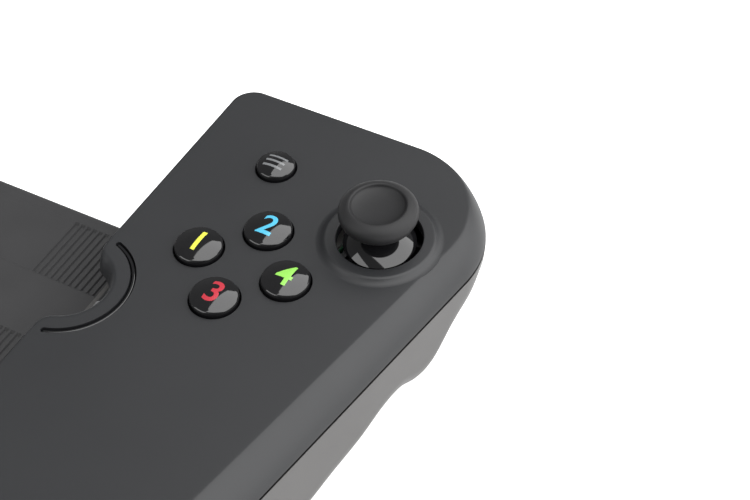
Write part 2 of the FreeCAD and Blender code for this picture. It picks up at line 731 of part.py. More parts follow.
def stick_arch():
    """Slotted arch over the carrier that turns about Y and follows the stem sideways."""
    outer = rod_x(arch_radius, stick_x - arch_width / 2, stick_x + arch_width / 2, stick_y, pivot_z)
    inner = rod_x(arch_radius - arch_thickness, stick_x - arch_width, stick_x + arch_width,
                  stick_y, pivot_z)
    upper = box(stick_x - 10, stick_x + 10, stick_y - 10, stick_y + 10, pivot_z, pivot_z + 10)
    band = outer.cut(inner).common(upper)
    ears = [box(stick_x - arch_width / 2, stick_x + arch_width / 2, y0, y0 + arch_thickness,
                pivot_z - 2.2, pivot_z + 0.5)
            for y0 in (stick_y - arch_radius, stick_y + arch_radius - arch_thickness)]
    reach = module_size / 2.0 - axle_end_gap
    rods = [rod_y(trunnion_radius, stick_y - reach, stick_y - arch_radius + arch_thickness, stick_x, pivot_z),
            rod_y(trunnion_radius, stick_y + arch_radius - arch_thickness, stick_y + reach, stick_x, pivot_z)]
    half = shaft_radius + 0.35
    slot = box(stick_x - half, stick_x + half, stick_y - arch_radius * 0.62, stick_y + arch_radius * 0.62,
               pivot_z + 1, pivot_z + 10)
    return band.fuse(ears + rods).cut(slot).removeSplitter()


def stick_housing():
    """Open box on the bottom half that carries both rockers in its walls."""
    half = module_size / 2.0
    low, high = pivot_z - module_depth, pivot_z + module_rise
    outer = box(stick_x - half, stick_x + half, stick_y - half, stick_y + half, low, high)
    inside = half - module_wall
    inner = box(stick_x - inside, stick_x + inside, stick_y - inside, stick_y + inside,
                low + module_wall, high + 1)
    bore = trunnion_radius + running_gap
    return outer.cut([inner, rod_x(bore, stick_x - half - 1, stick_x + half + 1, stick_y, pivot_z),
                      rod_y(bore, stick_y - half - 1, stick_y + half + 1, stick_x, pivot_z)])


def stick_sensors():
    """Two angle sensors on the housing's walls, at the ends of the rockers."""
    half = module_size / 2.0
    side = box(stick_x + half, stick_x + half + 1.6, stick_y - 4.5, stick_y + 4.5, pivot_z - 5, pivot_z + 2.2)
    near = box(stick_x - 4.5, stick_x + 4.5, stick_y - half - 1.6, stick_y - half, pivot_z - 5, pivot_z + 2.2)
    return Part.makeCompound([side, near])


def stick_spring():
    """Centring spring below the rockers, as the tube its coils fill."""
    low = pivot_z - module_depth + module_wall
    high = pivot_z - 2.6 - 0.3
    ring = post(4.2, low, high, stick_x, stick_y)
    return ring.cut(post(3.0, low - 1, high + 1, stick_x, stick_y))


def bumper():
    """Bar in the far end's corner that clicks inwards, rounded like the shell."""
    x0, x1 = shoulder_x0 + shoulder_gap, shoulder_x1 - shoulder_gap
    top = parting_z - seam_gap
    low = top - bumper_height
    outside = grip_prism(low, top)
    bar = box(x0, x1, grip_end_y - bumper_depth, grip_end_y + 2, low, top).common(outside)
    outer = [e for e in bar.Edges if e.BoundBox.ZMax < low + 0.01 and e.BoundBox.YMax > grip_end_y - 4
             and e.BoundBox.XLength > 1]
    bar = bar.makeFillet(1.0, outer)
    pocket = box(x0 + 1.8, x1 - 1.8, grip_end_y - bumper_depth + 1.2, grip_end_y - 4.4, low + 1.4, top - 1.2)
    return bar.cut(pocket)


def trigger():
    """Curved lever under the bumper, hinged on a pin and hollow above."""
    x0, x1 = shoulder_x0 + shoulder_gap, shoulder_x1 - shoulder_gap
    py, pz = trigger_pivot
    top = parting_z - seam_gap - bumper_height - 0.6
    a1, a2 = math.radians(216.0), math.radians(181.0)
    tip = V(x0, py + trigger_radius * math.cos(a1), pz + trigger_radius * math.sin(a1))
    mid = V(x0, py + trigger_radius * math.cos((a1 + a2) / 2), pz + trigger_radius * math.sin((a1 + a2) / 2))
    heel = V(x0, py + trigger_radius * math.cos(a2), pz + trigger_radius * math.sin(a2))
    curve = Part.BSplineCurve()
    curve.interpolate([V(x0, grip_end_y - 0.3, top), V(x0, grip_end_y - 0.5, 9.5),
                       V(x0, grip_end_y - 3.4, 4.4), V(x0, grip_end_y - 9.5, 2.2),
                       V(x0, grip_end_y - 15.0, 3.2), tip])
    shelf = V(x0, py - 4.5, top)
    ring = Part.Wire([curve.toShape(), arc(tip, mid, heel), Part.makeLine(heel, shelf),
                      Part.makeLine(shelf, curve.StartPoint)])
    lever = Part.Face(ring).extrude(V(x1 - x0, 0, 0))
    lever = lever.common(grip_prism(-2, parting_z, 0.3, 0.3))
    pocket = box(x0 + trigger_wall, x1 - trigger_wall, py - 8.0, grip_end_y - 3.6, pz - 5.2, top + 1)
    bore = rod_x(trigger_pin_radius + 0.06, x0 - 1, x1 + 1, py, pz)
    return lever.cut([pocket, bore])


def trigger_pin():
    py, pz = trigger_pivot
    return rod_x(trigger_pin_radius, shoulder_x0 - rib_thickness, shoulder_x1 + rib_thickness, py, pz)


def trigger_spring():
    """Torsion spring on the trigger's pin, as the tube its coils fill."""
    py, pz = trigger_pivot
    mid = (shoulder_x0 + shoulder_x1) / 2.0
    return rod_x(2.4, mid - 4, mid + 4, py, pz).cut(rod_x(1.3, mid - 5, mid + 5, py, pz))


def strap_pocket():
    """Pocket in the jaw under the tablet that takes the strap's end and its clamp."""
    half = strap_width / 2.0 + strap_clearance
    end = inner_edge_x + strap_grip + 0.4
    strap = box(inner_edge_x - 10, end, -half, half, strap_bottom - strap_clearance,
                strap_top + strap_clearance)
    plate = box(inner_edge_x + 1.2, end, -half, half, strap_bottom, strap_top + clamp_thickness + 0.25)
    return strap.fuse(plate)


def strap_clamp():
    """Thin steel plate that holds the strap's end down in its pocket."""
    half = strap_width / 2.0
    return box(inner_edge_x + 1.6, inner_edge_x + strap_grip, -half, half, strap_top,
               strap_top + clamp_thickness)


def strap_end():
    """End of the strap from the fold line into the grip, hollowed for the round edge
    of the middle stretch."""
    half = strap_width / 2.0
    end = box(fold_x, inner_edge_x + strap_grip, -half, half, strap_bottom, strap_top)
    return end.cut(rod_y(strap_thickness / 2.0 + fold_clearance, -half - 1, half + 1, fold_x, fold_z))


def bridge_strap():
    """Middle stretch of the strap, round along both fold lines, with a flat channel for
    the cable."""
    half = strap_width / 2.0
    strap = box(-fold_x, fold_x, -half, half, strap_bottom, strap_top)
    r = strap_thickness / 2.0
    strap = strap.fuse([rod_y(r, -half, half, fold_x, fold_z), rod_y(r, -half, half, -fold_x, fold_z)])
    gap = 0.1
    channel = box(-fold_x + 2, fold_x - 2, -cable_width / 2 - gap, cable_width / 2 + gap,
                  fold_z - cable_thickness / 2 - gap, fold_z + cable_thickness / 2 + gap)
    return strap.removeSplitter().cut(channel)


def bridge_cable():
    """Flat cable inside the strap that joins the two boards."""
    return box(-fold_x + 2.1, fold_x - 2.1, -cable_width / 2, cable_width / 2,
               fold_z - cable_thickness / 2, fold_z + cable_thickness / 2)


def slot_liner():
    """Thin soft strip on the slot's floor that the tablet's back lies on."""
    x0, x1 = inner_edge_x + 1.0, slot_end_x - 1.0
    thickness = slot_clearance - 0.05
    return box(x0, x1, -grip_end_y + 12, grip_end_y - 12, slot_bottom, slot_bottom + thickness)


def tablet_plug():
    """Plug that enters the tablet's end: flat tongue, collar and the block behind it."""
    mid = glass_z - tablet_thickness / 2.0
    w, h = plug_collar
    tongue = box(slot_end_x - plug_length, slot_end_x + 0.5, -plug_width / 2, plug_width / 2,
                 mid - plug_thickness / 2, mid + plug_thickness / 2)
    ends = [e for e in tongue.Edges if e.BoundBox.XLength > plug_length - 1]
    tongue = tongue.makeFillet(plug_thickness / 2 - 0.05, ends)
    collar = box(slot_end_x, cavity_x + 0.3, -w / 2, w / 2, mid - h / 2, mid + h / 2)
    block = box(cavity_x + 0.3, cavity_x + 1.8, -w / 2 - 3, w / 2 + 3, mid - h / 2 - 2, mid + h / 2)
    return tongue.fuse([collar, block]).removeSplitter()


def headphone_socket():
    """Round socket whose nose fills the hole in the near end."""
    y0 = -grip_end_y + 0.2
    y1 = -grip_end_y + rear_wall
    nose = rod_y(jack_radius + 0.8, y0, y1 + 0.5, jack_x, jack_z)
    barrel = box(jack_x - 3.2, jack_x + 3.2, y1, y0 + jack_length + 1.2,
                 jack_z - jack_block, jack_z + jack_block)
    bore = rod_y(jack_radius, y0 - 1, y0 + jack_length, jack_x, jack_z)
    return nose.fuse(barrel).cut(bore).removeSplitter()


def charging_socket():
    """Flat oval socket with a tongue inside."""
    y0, y1 = -grip_end_y + 0.2, -grip_end_y + 8.5
    can = rounded_slot(charge_width, charge_height, y0, y1, charge_x, charge_z)
    space = rounded_slot(charge_width - 0.7, charge_height - 0.7, y0 - 1, y1 - 1.2, charge_x, charge_z)
    tongue = box(charge_x - 3.3, charge_x + 3.3, y0 + 1.0, y1 - 1, charge_z - 0.35, charge_z + 0.35)
    return can.cut(space).fuse(tongue).removeSplitter()


def socket_board():
    """Small board that carries both sockets, on two posts of the near end's floor."""
    top = socket_board_top
    return box(charge_x - 6, jack_x + 5, -grip_end_y + rear_wall + 0.3, -grip_end_y + 16,
               top - board_thickness, top)


def grip_parts(is_right):
    """Every piece that both grips have, modelled at the right hand side."""
    return {
        "top_shell": top_shell(is_right), "bottom_shell": bottom_shell(is_right),
        "main_board": main_board(is_right), "screws": screw_set(), "feet": rubber_feet(),
        "slot_liner": slot_liner(), "stick_housing": stick_housing(),
        "stick_sensors": stick_sensors(), "stick_spring": stick_spring(),
        "stick_carrier": stick_carrier(), "stick_arch": stick_arch(), "stick_stem": stick_stem(),
        "stick_cap": stick_cap(), "bumper": bumper(), "trigger": trigger(),
        "trigger_pin": trigger_pin(), "trigger_spring": trigger_spring(),
        "strap_end": strap_end(), "strap_clamp": strap_clamp()}


def all_parts():
    parts = {"right_" + name: shape for name, shape in grip_parts(True).items()}
    for name, shape in grip_parts(False).items():
        parts["left_" + name] = mirrored(shape)
    for name, place in face_button_places().items():
        parts[name] = round_button(button_radius, place)
    parts["menu_button"] = round_button(menu_radius, menu)
    parts["button_mat"] = button_mat()
    parts["arc_insert"] = arc_insert()
    parts["tablet_plug"] = tablet_plug()
    parts["headphone_socket"] = headphone_socket()
    parts["charging_socket"] = charging_socket()
    parts["socket_board"] = socket_board()
    parts["direction_pad"] = mirrored(direction_pad())
    parts["direction_pad_pivot"] = mirrored(pad_pivot())
    parts["direction_pad_mat"] = mirrored(pad_mat())
    parts["bridge_strap"] = bridge_strap()
    parts["bridge_cable"] = bridge_cable()
    return parts


os.makedirs("parts", exist_ok=True)
for node, shape in all_parts().items():
    solids = shape.Solids
    print(node, len(solids), shape.isValid(), round(sum(s.Volume for s in solids), 1))
    shape.exportStep("parts/%s.step" % node)
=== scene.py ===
import bpy
import bmesh
import math
from mathutils import Matrix, Vector


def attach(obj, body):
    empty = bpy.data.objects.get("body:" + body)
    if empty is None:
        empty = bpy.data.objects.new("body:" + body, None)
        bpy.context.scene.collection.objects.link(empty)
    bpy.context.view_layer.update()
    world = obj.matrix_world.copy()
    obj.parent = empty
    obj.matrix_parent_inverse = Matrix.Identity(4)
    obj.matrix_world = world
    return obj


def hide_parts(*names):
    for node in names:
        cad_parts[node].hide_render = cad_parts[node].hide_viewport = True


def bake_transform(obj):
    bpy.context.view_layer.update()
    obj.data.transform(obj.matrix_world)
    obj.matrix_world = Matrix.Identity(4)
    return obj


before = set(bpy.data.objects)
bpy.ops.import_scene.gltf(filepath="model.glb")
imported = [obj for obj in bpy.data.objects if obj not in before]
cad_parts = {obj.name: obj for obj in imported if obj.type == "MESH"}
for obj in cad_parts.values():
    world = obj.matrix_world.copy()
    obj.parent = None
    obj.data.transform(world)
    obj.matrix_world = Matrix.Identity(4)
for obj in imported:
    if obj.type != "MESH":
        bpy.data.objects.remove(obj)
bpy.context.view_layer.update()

# Camera: above and to the right of the right hand grip, looking down at its face
# and across the tablet's end.
azimuth, elevation, roll = math.radians(31.0), math.radians(46.56), math.radians(2.86)
look_at = Vector((0.15979, 0.04046, 0.0230))
distance, focal_pixels, picture_width = 0.37613, 1773.4, 750.0
back = Vector((math.sin(azimuth) * math.cos(elevation), -math.cos(azimuth) * math.cos(elevation),
               math.sin(elevation)))
lens = bpy.data.cameras.new("photo_camera")
lens.sensor_width = 36.0
lens.lens = focal_pixels * lens.sensor_width / picture_width
lens.clip_start, lens.clip_end = 0.01, 20.0
camera = bpy.data.objects.new("photo_camera", lens)
bpy.context.scene.collection.objects.link(camera)
turn = (-back).to_track_quat("-Z", "Y").to_matrix() @ Matrix.Rotation(-roll, 3, "Z")
camera.matrix_world = Matrix.Translation(look_at + back * distance) @ turn.to_4x4()
bpy.context.scene.camera = camera
bpy.context.scene.view_settings.view_transform = "Standard"


# Top shells: the face halves of the two grips, moulded in charcoal plastic with a
# fine satin texture. The rim rolls over softly, wide on the outer side and tight at the
# ends, and a lip reaches over the tablet's end. Only the right one has the thumb notch.
# Sizes are in millimetres from here on, and are turned into metres where a mesh is made.
home = Vector((109.3, 0.0))
inner_edge, outer_edge, half_length = 110.2, 180.8, 69.0
far_radius, near_radius, lip_radius, side_lean = 23.5, 20.0, 6.0, 8.1
notch_radius, notch_lead = 8.2, 3.5
face_height, parting_height = 28.0, 21.5
slot_floor, slot_roof, slot_wall, hollow_inset = 16.55, 23.35, 120.35, 12.35


def bow(x, y, radius, start, stop, steps):
    """Points on an arc, without its last one; angles in degrees."""
    angles = [math.radians(start + (stop - start) * k / steps) for k in range(steps)]
    return [(x + radius * math.cos(a), y + radius * math.sin(a)) for a in angles]


def run(start, stop, steps):
    """Points on a straight run, without its last one."""
    return [(start[0] + (stop[0] - start[0]) * k / steps, start[1] + (stop[1] - start[1]) * k / steps)
            for k in range(steps)]


def grip_plan(side=0.0, end=0.0, inner=0.0, notch=0.0, lean=side_lean):
    """The grip's plan, drawn in on its outer side, its ends and its inner edge."""
    half, x_in = half_length - end, inner_edge + inner
    c, s = math.cos(math.radians(lean)), math.sin(math.radians(lean))
    r1, r2 = far_radius - (side + end) / 2, near_radius - (side + end) / 2
    r3 = max(lip_radius - (end + inner) / 2, 0.8)
    offset = c * (outer_edge - far_radius) - s * (half_length - far_radius) + far_radius - side
    y1, y2 = half - r1, r2 - half
    x1, x2 = (offset - r1 + s * y1) / c, (offset - r2 + s * y2) / c
    points = run((x_in + r3, half), (x1, half), 16) + bow(x1, y1, r1, 90, -lean, 40)
    points += run((x1 + r1 * c, y1 - r1 * s), (x2 + r2 * c, y2 - r2 * s), 64)
    points += bow(x2, y2, r2, -lean, -90, 32) + run((x2, -half), (x_in + r3, -half), 16)
    points += bow(x_in + r3, r3 - half, r3, -90, -180, 10)
    if notch:
        kx = x_in + notch_lead
        ky = math.sqrt((notch + notch_lead) ** 2 - (kx - home.x) ** 2)
        turn_in = math.degrees(math.atan2(ky, home.x - kx))
        points += run((x_in, r3 - half), (x_in, -ky), 30) + bow(kx, -ky, notch_lead, 180, turn_in, 12)
        points += bow(home.x, 0, notch, turn_in - 180, 180 - turn_in, 40)
        points += bow(kx, ky, notch_lead, -turn_in, -180, 12) + run((x_in, ky), (x_in, half - r3), 30)
    else:
        points += run((x_in, r3 - half), (x_in, half - r3), 64)
    return points + bow(x_in + r3, half - r3, r3, 180, 90, 10)


def alone(piece):
    """Selects one object and makes it active."""
    bpy.ops.object.select_all(action="DESELECT")
    piece.select_set(True)
    bpy.context.view_layer.objects.active = piece


def outwards():
    """Turns the faces of the mesh being edited outwards."""
    bpy.ops.mesh.normals_make_consistent(inside=False)
    if bmesh.from_edit_mesh(bpy.context.object.data).calc_volume(signed=True) < 0:
        bpy.ops.mesh.flip_normals()


def stacked(name, rings, sewn=False):
    """A closed body grown from a flat disc: the disc's face is extruded once for each ring
    and its corners are set on that ring. Rings are lists of (x, y, z) in millimetres. A sewn
    body's last ring is a line, whose two sides are merged."""
    bpy.ops.object.select_all(action="DESELECT")
    bpy.ops.mesh.primitive_circle_add(vertices=len(rings[0]), radius=1.0, fill_type="NGON")
    piece = bpy.context.object
    piece.name = piece.data.name = name
    for vertex, point in zip(piece.data.vertices, rings[0]):
        vertex.co = Vector(point) * 0.001
    bpy.ops.object.mode_set(mode="EDIT")
    bpy.ops.mesh.select_mode(type="FACE")
    below = range(len(rings[0]))
    for ring in rings[1:]:
        bpy.ops.mesh.extrude_region_move()
        mesh = bmesh.from_edit_mesh(piece.data)
        mesh.verts.ensure_lookup_table()
        mesh.verts.index_update()
        corners = [mesh.verts[index] for index in below]
        top = [corner if corner.select else
               next(v for v in (edge.other_vert(corner) for edge in corner.link_edges) if v.select)
               for corner in corners]
        for vertex, point in zip(top, ring):
            vertex.co = Vector(point) * 0.001
        below = [vertex.index for vertex in top]
        bmesh.update_edit_mesh(piece.data)
    if sewn:
        bpy.ops.mesh.delete(type="ONLY_FACE")
    bpy.ops.mesh.select_all(action="SELECT")
    bpy.ops.mesh.remove_doubles(threshold=1e-6)
    outwards()
    bpy.ops.object.mode_set(mode="OBJECT")
    return piece


def lifted(plan, z):
    return [(x, y, z) for x, y in plan]


def applied(piece, kind, **settings):
    """Adds a modifier, sets it and applies it."""
    alone(piece)
    modifier = piece.modifiers.new(kind.lower(), kind)
    for key, value in settings.items():
        setattr(modifier, key, value)
    bpy.ops.object.modifier_apply(modifier=modifier.name)


def cut(piece, *tools, how="DIFFERENCE"):
    """Takes the tools away from a piece, or joins them to it, and removes them."""
    for tool in tools:
        applied(piece, "BOOLEAN", object=tool, operation=how, solver="MANIFOLD")
        bpy.data.objects.remove(tool)
    return piece


def block(x0, x1, y0, y1, z0, z1):
    """A cutter with square corners."""
    bpy.ops.object.select_all(action="DESELECT")
    bpy.ops.mesh.primitive_cube_add(size=1.0)
    tool = bpy.context.object
    tool.data.transform(Matrix.Translation(Vector(((x0 + x1) / 2, (y0 + y1) / 2, (z0 + z1) / 2)) * 0.001)
                        @ Matrix.Diagonal(Vector((x1 - x0, y1 - y0, z1 - z0)) * 0.001).to_4x4())
    return tool


def turned(name, profile, x, y, steps=96):
    """A round piece: its profile of (radius, height) is drawn corner by corner and spun
    about the upright axis through (x, y)."""
    bpy.ops.object.select_all(action="DESELECT")
    bpy.ops.mesh.primitive_plane_add(size=0.001)
    piece = bpy.context.object
    piece.name = piece.data.name = name
    bpy.ops.object.mode_set(mode="EDIT")
    bpy.ops.mesh.select_mode(type="VERT")
    bpy.ops.mesh.merge(type="CENTER")
    bpy.ops.transform.translate(value=Vector((profile[0][0] + x, y, profile[0][1])) * 0.001)
    for (r0, z0), (r1, z1) in zip(profile, profile[1:]):
        step = Vector((r1 - r0, 0, z1 - z0)) * 0.001
        bpy.ops.mesh.extrude_region_move(TRANSFORM_OT_translate={"value": step})
    bpy.ops.mesh.select_all(action="SELECT")
    bpy.ops.mesh.spin(steps=steps, angle=math.tau, center=Vector((x, y, 0)) * 0.001, axis=(0, 0, 1))
    bpy.ops.mesh.select_all(action="SELECT")
    bpy.ops.mesh.remove_doubles(threshold=1e-6)
    bpy.ops.mesh.dissolve_degenerate(threshold=1e-7)
    outwards()
    bpy.ops.object.mode_set(mode="OBJECT")
    return piece


def level_turned(profile, place, about, steps=96):
    """A round cutter whose axis is level: turned about Y it runs to +X, about X to -Y."""
    tool = turned("level_cut", profile, 0, 0, steps)
    level = Matrix.Rotation(math.radians(90), 4, about)
    tool.data.transform(Matrix.Translation(Vector(place) * 0.001) @ level)
    return tool


def joined(pieces):
    """Joins pieces into the first of them."""
    alone(pieces[0])
    for piece in pieces[1:]:
        piece.select_set(True)
    bpy.ops.object.join()
    return pieces[0]


def dressed(piece, finish, slot, body, *nodes):
    """Gives a finished piece its material, the body it rides on and its nodes. The slot argument is not used.
    """
    piece.data.materials.clear()
    piece.data.materials.append(finish)
    if nodes:
        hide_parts(*nodes)
    if body:
        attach(piece, body)


def smoothed(piece, angle=32.0):
    """Rounds the shading over soft edges and leaves the flat faces flat."""
    alone(piece)
    bpy.ops.object.shade_smooth_by_angle(angle=math.radians(angle))
    applied(piece, "WEIGHTED_NORMAL", keep_sharp=True, weight=80)
    return piece


def mirrored(piece):
    """Turns a right hand piece into a left hand one, with its faces outwards."""
    piece.data.transform(Matrix.Diagonal((-1.0, 1.0, 1.0, 1.0)))
    alone(piece)
    bpy.ops.object.mode_set(mode="EDIT")
    bpy.ops.mesh.select_all(action="SELECT")
    bpy.ops.mesh.flip_normals()
    bpy.ops.object.mode_set(mode="OBJECT")
    return piece


def copied(piece, name):
    twin = piece.copy()
    twin.data = piece.data.copy()
    twin.name = twin.data.name = name
    bpy.context.scene.collection.objects.link(twin)
    return twin


class Tone:
    """A shader value that Python's own signs work on."""

    def __init__(self, finish, socket):
        self.finish, self.socket = finish, socket

    def sign(self, operation, *others):
        return self.finish.node("ShaderNodeMath", {"operation": operation}, *others)

    def __add__(self, other): return self.sign("ADD", self, other)
    def __radd__(self, other): return self.sign("ADD", other, self)
    def __mul__(self, other): return self.sign("MULTIPLY", self, other)
    def __rmul__(self, other): return self.sign("MULTIPLY", other, self)
    def __pow__(self, other): return self.sign("POWER", self, other)
    def __gt__(self, other): return self.sign("GREATER_THAN", self, other)
    def __lt__(self, other): return self.sign("LESS_THAN", self, other)


class Finish:
    """A procedural material built round one Principled shader."""

    def __init__(self, name, **constants):
        self.material = bpy.data.materials.new(name)
        self.material.use_nodes = True
        self.tree = self.material.node_tree
        self.shader = next(n for n in self.tree.nodes if n.type == "BSDF_PRINCIPLED")
        for key, value in constants.items():
            self.shader.inputs[key.replace("_", " ")].default_value = value

    def node(self, kind, settings=(), *values, out=0, at=(), **named):
        node = self.tree.nodes.new(kind)
        for key, value in dict(settings).items():
            setattr(node, key, value)
        for key, value in list(enumerate(values)) + list(dict(at).items()) + list(named.items()):
            socket = node.inputs[key.replace("_", " ") if isinstance(key, str) else key]
            if isinstance(value, Tone):
                self.tree.links.new(value.socket, socket)
            else:
                socket.default_value = value
        return Tone(self, node.outputs[out])

    def place(self):
        return self.node("ShaderNodeTexCoord", out=3)

    def grain(self, scale, detail=2.0, roughness=0.5):
        return self.node("ShaderNodeTexNoise", {}, Vector=self.place(), Scale=scale, Detail=detail,
                         Roughness=roughness)

    def mixed(self, mask, first, second):
        """A colour between two colours."""
        return self.node("ShaderNodeMix", {"data_type": "RGBA"}, mask, at={6: first, 7: second}, out=2)

    def bumped(self, height, strength, distance):
        return self.node("ShaderNodeBump", {}, Strength=strength, Distance=distance, Height=height)

    def feed(self, **links):
        for key, tone in links.items():
            self.tree.links.new(tone.socket, self.shader.inputs[key.replace("_", " ")])
        return self.material


def satin_plastic(name, colour, gloss, grain_height):
    """Moulded plastic with a spark-eroded texture: a fine even grain, a little cloud in
    its colour, and a slightly polished look where hands rub it."""
    finish = Finish(name, Specular_IOR_Level=0.5)
    cloud = finish.grain(22.0, 3.0)
    fine = finish.grain(5200.0, 2.0, 0.6)
    speck = finish.grain(1900.0, 3.0, 0.65)
    dark = tuple(c * 0.90 for c in colour) + (1.0,)
    pale = tuple(c * 1.10 for c in colour) + (1.0,)
    body = finish.mixed(cloud, dark, pale)
    shade = finish.mixed(0.35 * speck, body, pale)
    rough = gloss + 0.10 * finish.grain(60.0, 4.0) + 0.06 * fine
    rise = finish.bumped(fine + 0.6 * speck, 0.35, grain_height)
    return finish.feed(Base_Color=shade, Roughness=rough, Normal=rise)


face_plastic = satin_plastic("face_plastic", (0.0092, 0.0098, 0.0112), 0.42, 0.00002)


def roll(share, power):
    """Height and draw of a point on the rolled rim, each from 0 to 1."""
    angle = share * math.pi / 2
    return math.sin(angle) ** (2 / power), 1 - math.cos(angle) ** (2 / power)


def top_outside(notched):
    """Rings of a top shell, from the seam up its rolled rim to the face."""
    edge, steps = 0.2, 16
    low = parting_height + 1.1 * edge
    rings = [lifted(grip_plan(edge, edge, edge, notch_radius + edge if notched else 0.0), parting_height)]
    for k in range(steps + 1):
        rise, draw = roll(k / steps, 1.38)
        tight = 1 - math.sqrt(max(1 - rise * rise, 0))
        notch = notch_radius + 2.2 * tight if notched else 0.0
        plan = grip_plan(4.9 * draw, 1.2 * draw, 0.7 * tight, notch, side_lean + 1.3 * draw)
        rings.append(lifted(plan, low + (face_height - low) * rise))
    notch = notch_radius + 2.6 if notched else 0.0
    return rings + [lifted(grip_plan(5.3, 1.6, 1.1, notch, side_lean + 1.4), face_height)]


def top_inside():
    """The top shell's hollow, with levels of (height, inset at the side, inset at the ends)."""
    levels = [(21.0, 2.2, 2.2), (24.65, 3.0, 2.2), (25.8, 4.45, 3.2)]
    return stacked("top_inside", [lifted(grip_plan(side, end, hollow_inset), z) for z, side, end in levels])


def slot_cut():
    """The slot that takes the tablet's end, open at both ends."""
    return block(90.0, slot_wall, -80.0, 80.0, slot_floor, slot_roof)


def bore(radius, x, y, z0, z1, flare=0.0, steps=64):
    """A round cutter, with a small chamfer at the face where a flare is given."""
    profile = [(0, z0), (radius, z0)]
    if flare:
        profile += [(radius, face_height - flare), (radius + flare + 0.5, face_height + 0.5)]
        z1 = face_height + 0.5
    else:
        profile += [(radius, z1)]
    return turned("bore", profile + [(0, z1)], x, y, steps)


stick_x, stick_y = 161.7, 39.4
diamond = Vector((139.7, 20.1))
menu = Vector((131.1, 48.1))
button_pitch, face_button_radius, menu_button_radius, button_gap = 10.6, 5.15, 4.25, 0.3
button_spots = {"face_button_lower": diamond + Vector((0, -button_pitch)),
                "face_button_outer": diamond + Vector((button_pitch, 0)),
                "face_button_inner": diamond + Vector((-button_pitch, 0)),
                "face_button_upper": diamond + Vector((0, button_pitch))}
arc_radius, arc_reach = 13.95, 73


def arc_plan(half_width):
    """Plan of a bar with round ends that runs round the thumb notch."""
    c, s = math.cos(math.radians(arc_reach)), math.sin(math.radians(arc_reach))
    points = bow(home.x, 0, arc_radius + half_width, -arc_reach, arc_reach, 60)
    points += bow(home.x + arc_radius * c, arc_radius * s, half_width, arc_reach, 180 + arc_reach, 8)
    points += bow(home.x, 0, arc_radius - half_width, arc_reach, -arc_reach, 60)
    return points + bow(home.x + arc_radius * c, -arc_radius * s, half_width,
                        180 - arc_reach, 360 - arc_reach, 8)


def stick_collar():
    """Raised ring round the stick: flat land, rolled edge and a soft foot on the face."""
    profile = [(9.0, 25.6), (9.0, 29.0), (11.3, 29.0)]
    profile += bow(11.3, 28.0, 1.0, 80, 30, 7)
    profile += [(12.35, 28.42), (12.62, 28.22), (12.95, 28.09), (13.35, 28.02), (13.8, 27.985), (13.8, 25.6)]
    return turned("collar", profile + [(9.0, 25.6)], stick_x, stick_y, 128)


def make_top(name, notched):
    shell = stacked(name, top_outside(notched))
    cavity = top_inside()
    if notched:
        cut(cavity, bore(arc_radius + 2.4, home.x, home.y, slot_roof, 27.0))
    cut(shell, cavity, slot_cut())
    cut(shell, stick_collar(), how="UNION")
    well = [(0, 20.0), (10.4, 20.0), (10.4, 25.65), (9.9, 25.8), (9.25, 26.5), (9.25, 28.85),
            (9.5, 29.1), (9.5, 30.0), (0, 30.0)]
    cut(shell, turned("well", well, stick_x, stick_y, 128))
    return shell


right_top = make_top("right_top_shell_skin", True)
for spot in button_spots.values():
    cut(right_top, bore(face_button_radius + button_gap, spot.x, spot.y, 24.0, 30.0, 0.12))
cut(right_top, bore(menu_button_radius + button_gap, menu.x, menu.y, 24.0, 30.0, 0.12))
cut(right_top, stacked("arc_cut", [lifted(arc_plan(0.65), z) for z in (25.0, 29.0)]))
left_top = mirrored(make_top("left_top_shell_skin", False))
arm, reach = 4.6, 11.8
cross = [(reach, arm), (arm, arm), (arm, reach), (-arm, reach), (-arm, arm), (-reach, arm),
         (-reach, -arm), (-arm, -arm), (-arm, -reach), (arm, -reach), (arm, -arm), (reach, -arm)]
cut(left_top, stacked("cross_cut", [[(x - diamond.x, y + diamond.y, z) for x, y in cross]
                                    for z in (24.0, 29.0)]))
for shell, node in ((right_top, "right_top_shell"), (left_top, "left_top_shell")):
    dressed(smoothed(shell), face_plastic, "shell_face", node.split("_")[0] + "_grip", node)


# Buttons: five glossy black buttons, moulded with a low dome, a short straight side
# and a lip under the face that keeps them in.
def polished_plastic(name, colour, rough):
    """High gloss black plastic with the faintest waviness and dust."""
    finish = Finish(name, Specular_IOR_Level=0.65)
    dust = finish.grain(900.0, 4.0, 0.7)
    wave = finish.grain(180.0, 1.0)
    shade = finish.mixed(dust, colour + (1.0,), tuple(c * 1.5 + 0.002 for c in colour) + (1.0,))
    return finish.feed(Base_Color=shade, Roughness=rough + 0.05 * (dust ** 3.0),
                       Normal=finish.bumped(wave, 0.04, 0.0001))


gloss_black = polished_plastic("gloss_black", (0.004, 0.004, 0.0045), 0.05)
dome_top, dome_edge, shoulder = 30.2, 29.436, 0.65


def button_dome(radius):
    """Height of a button's top over its distance from the middle."""
    edge, rise = radius - shoulder, dome_top - dome_edge
    sphere = (edge * edge + rise * rise) / (2 * rise)
    return lambda reach: dome_top - sphere + math.sqrt(sphere * sphere - reach * reach)


def domed_button(name, radius, spot):
    """A button with its retaining lip, straight side, rounded shoulder and low dome."""
    top, edge, lip = button_dome(radius), radius - shoulder, radius + 0.7
    profile = [(0, 24.4), (lip, 24.4), (lip, 25.3), (radius, 25.3), (radius, 28.6)]
    profile += bow(radius - 0.62, 28.8, 0.62, 0, 78, 8) + [(edge, top(edge))]
    profile += [(edge * (1 - k / 12), top(edge * (1 - k / 12))) for k in range(1, 13)]
    return turned(name, profile, spot.x, spot.y, 96)


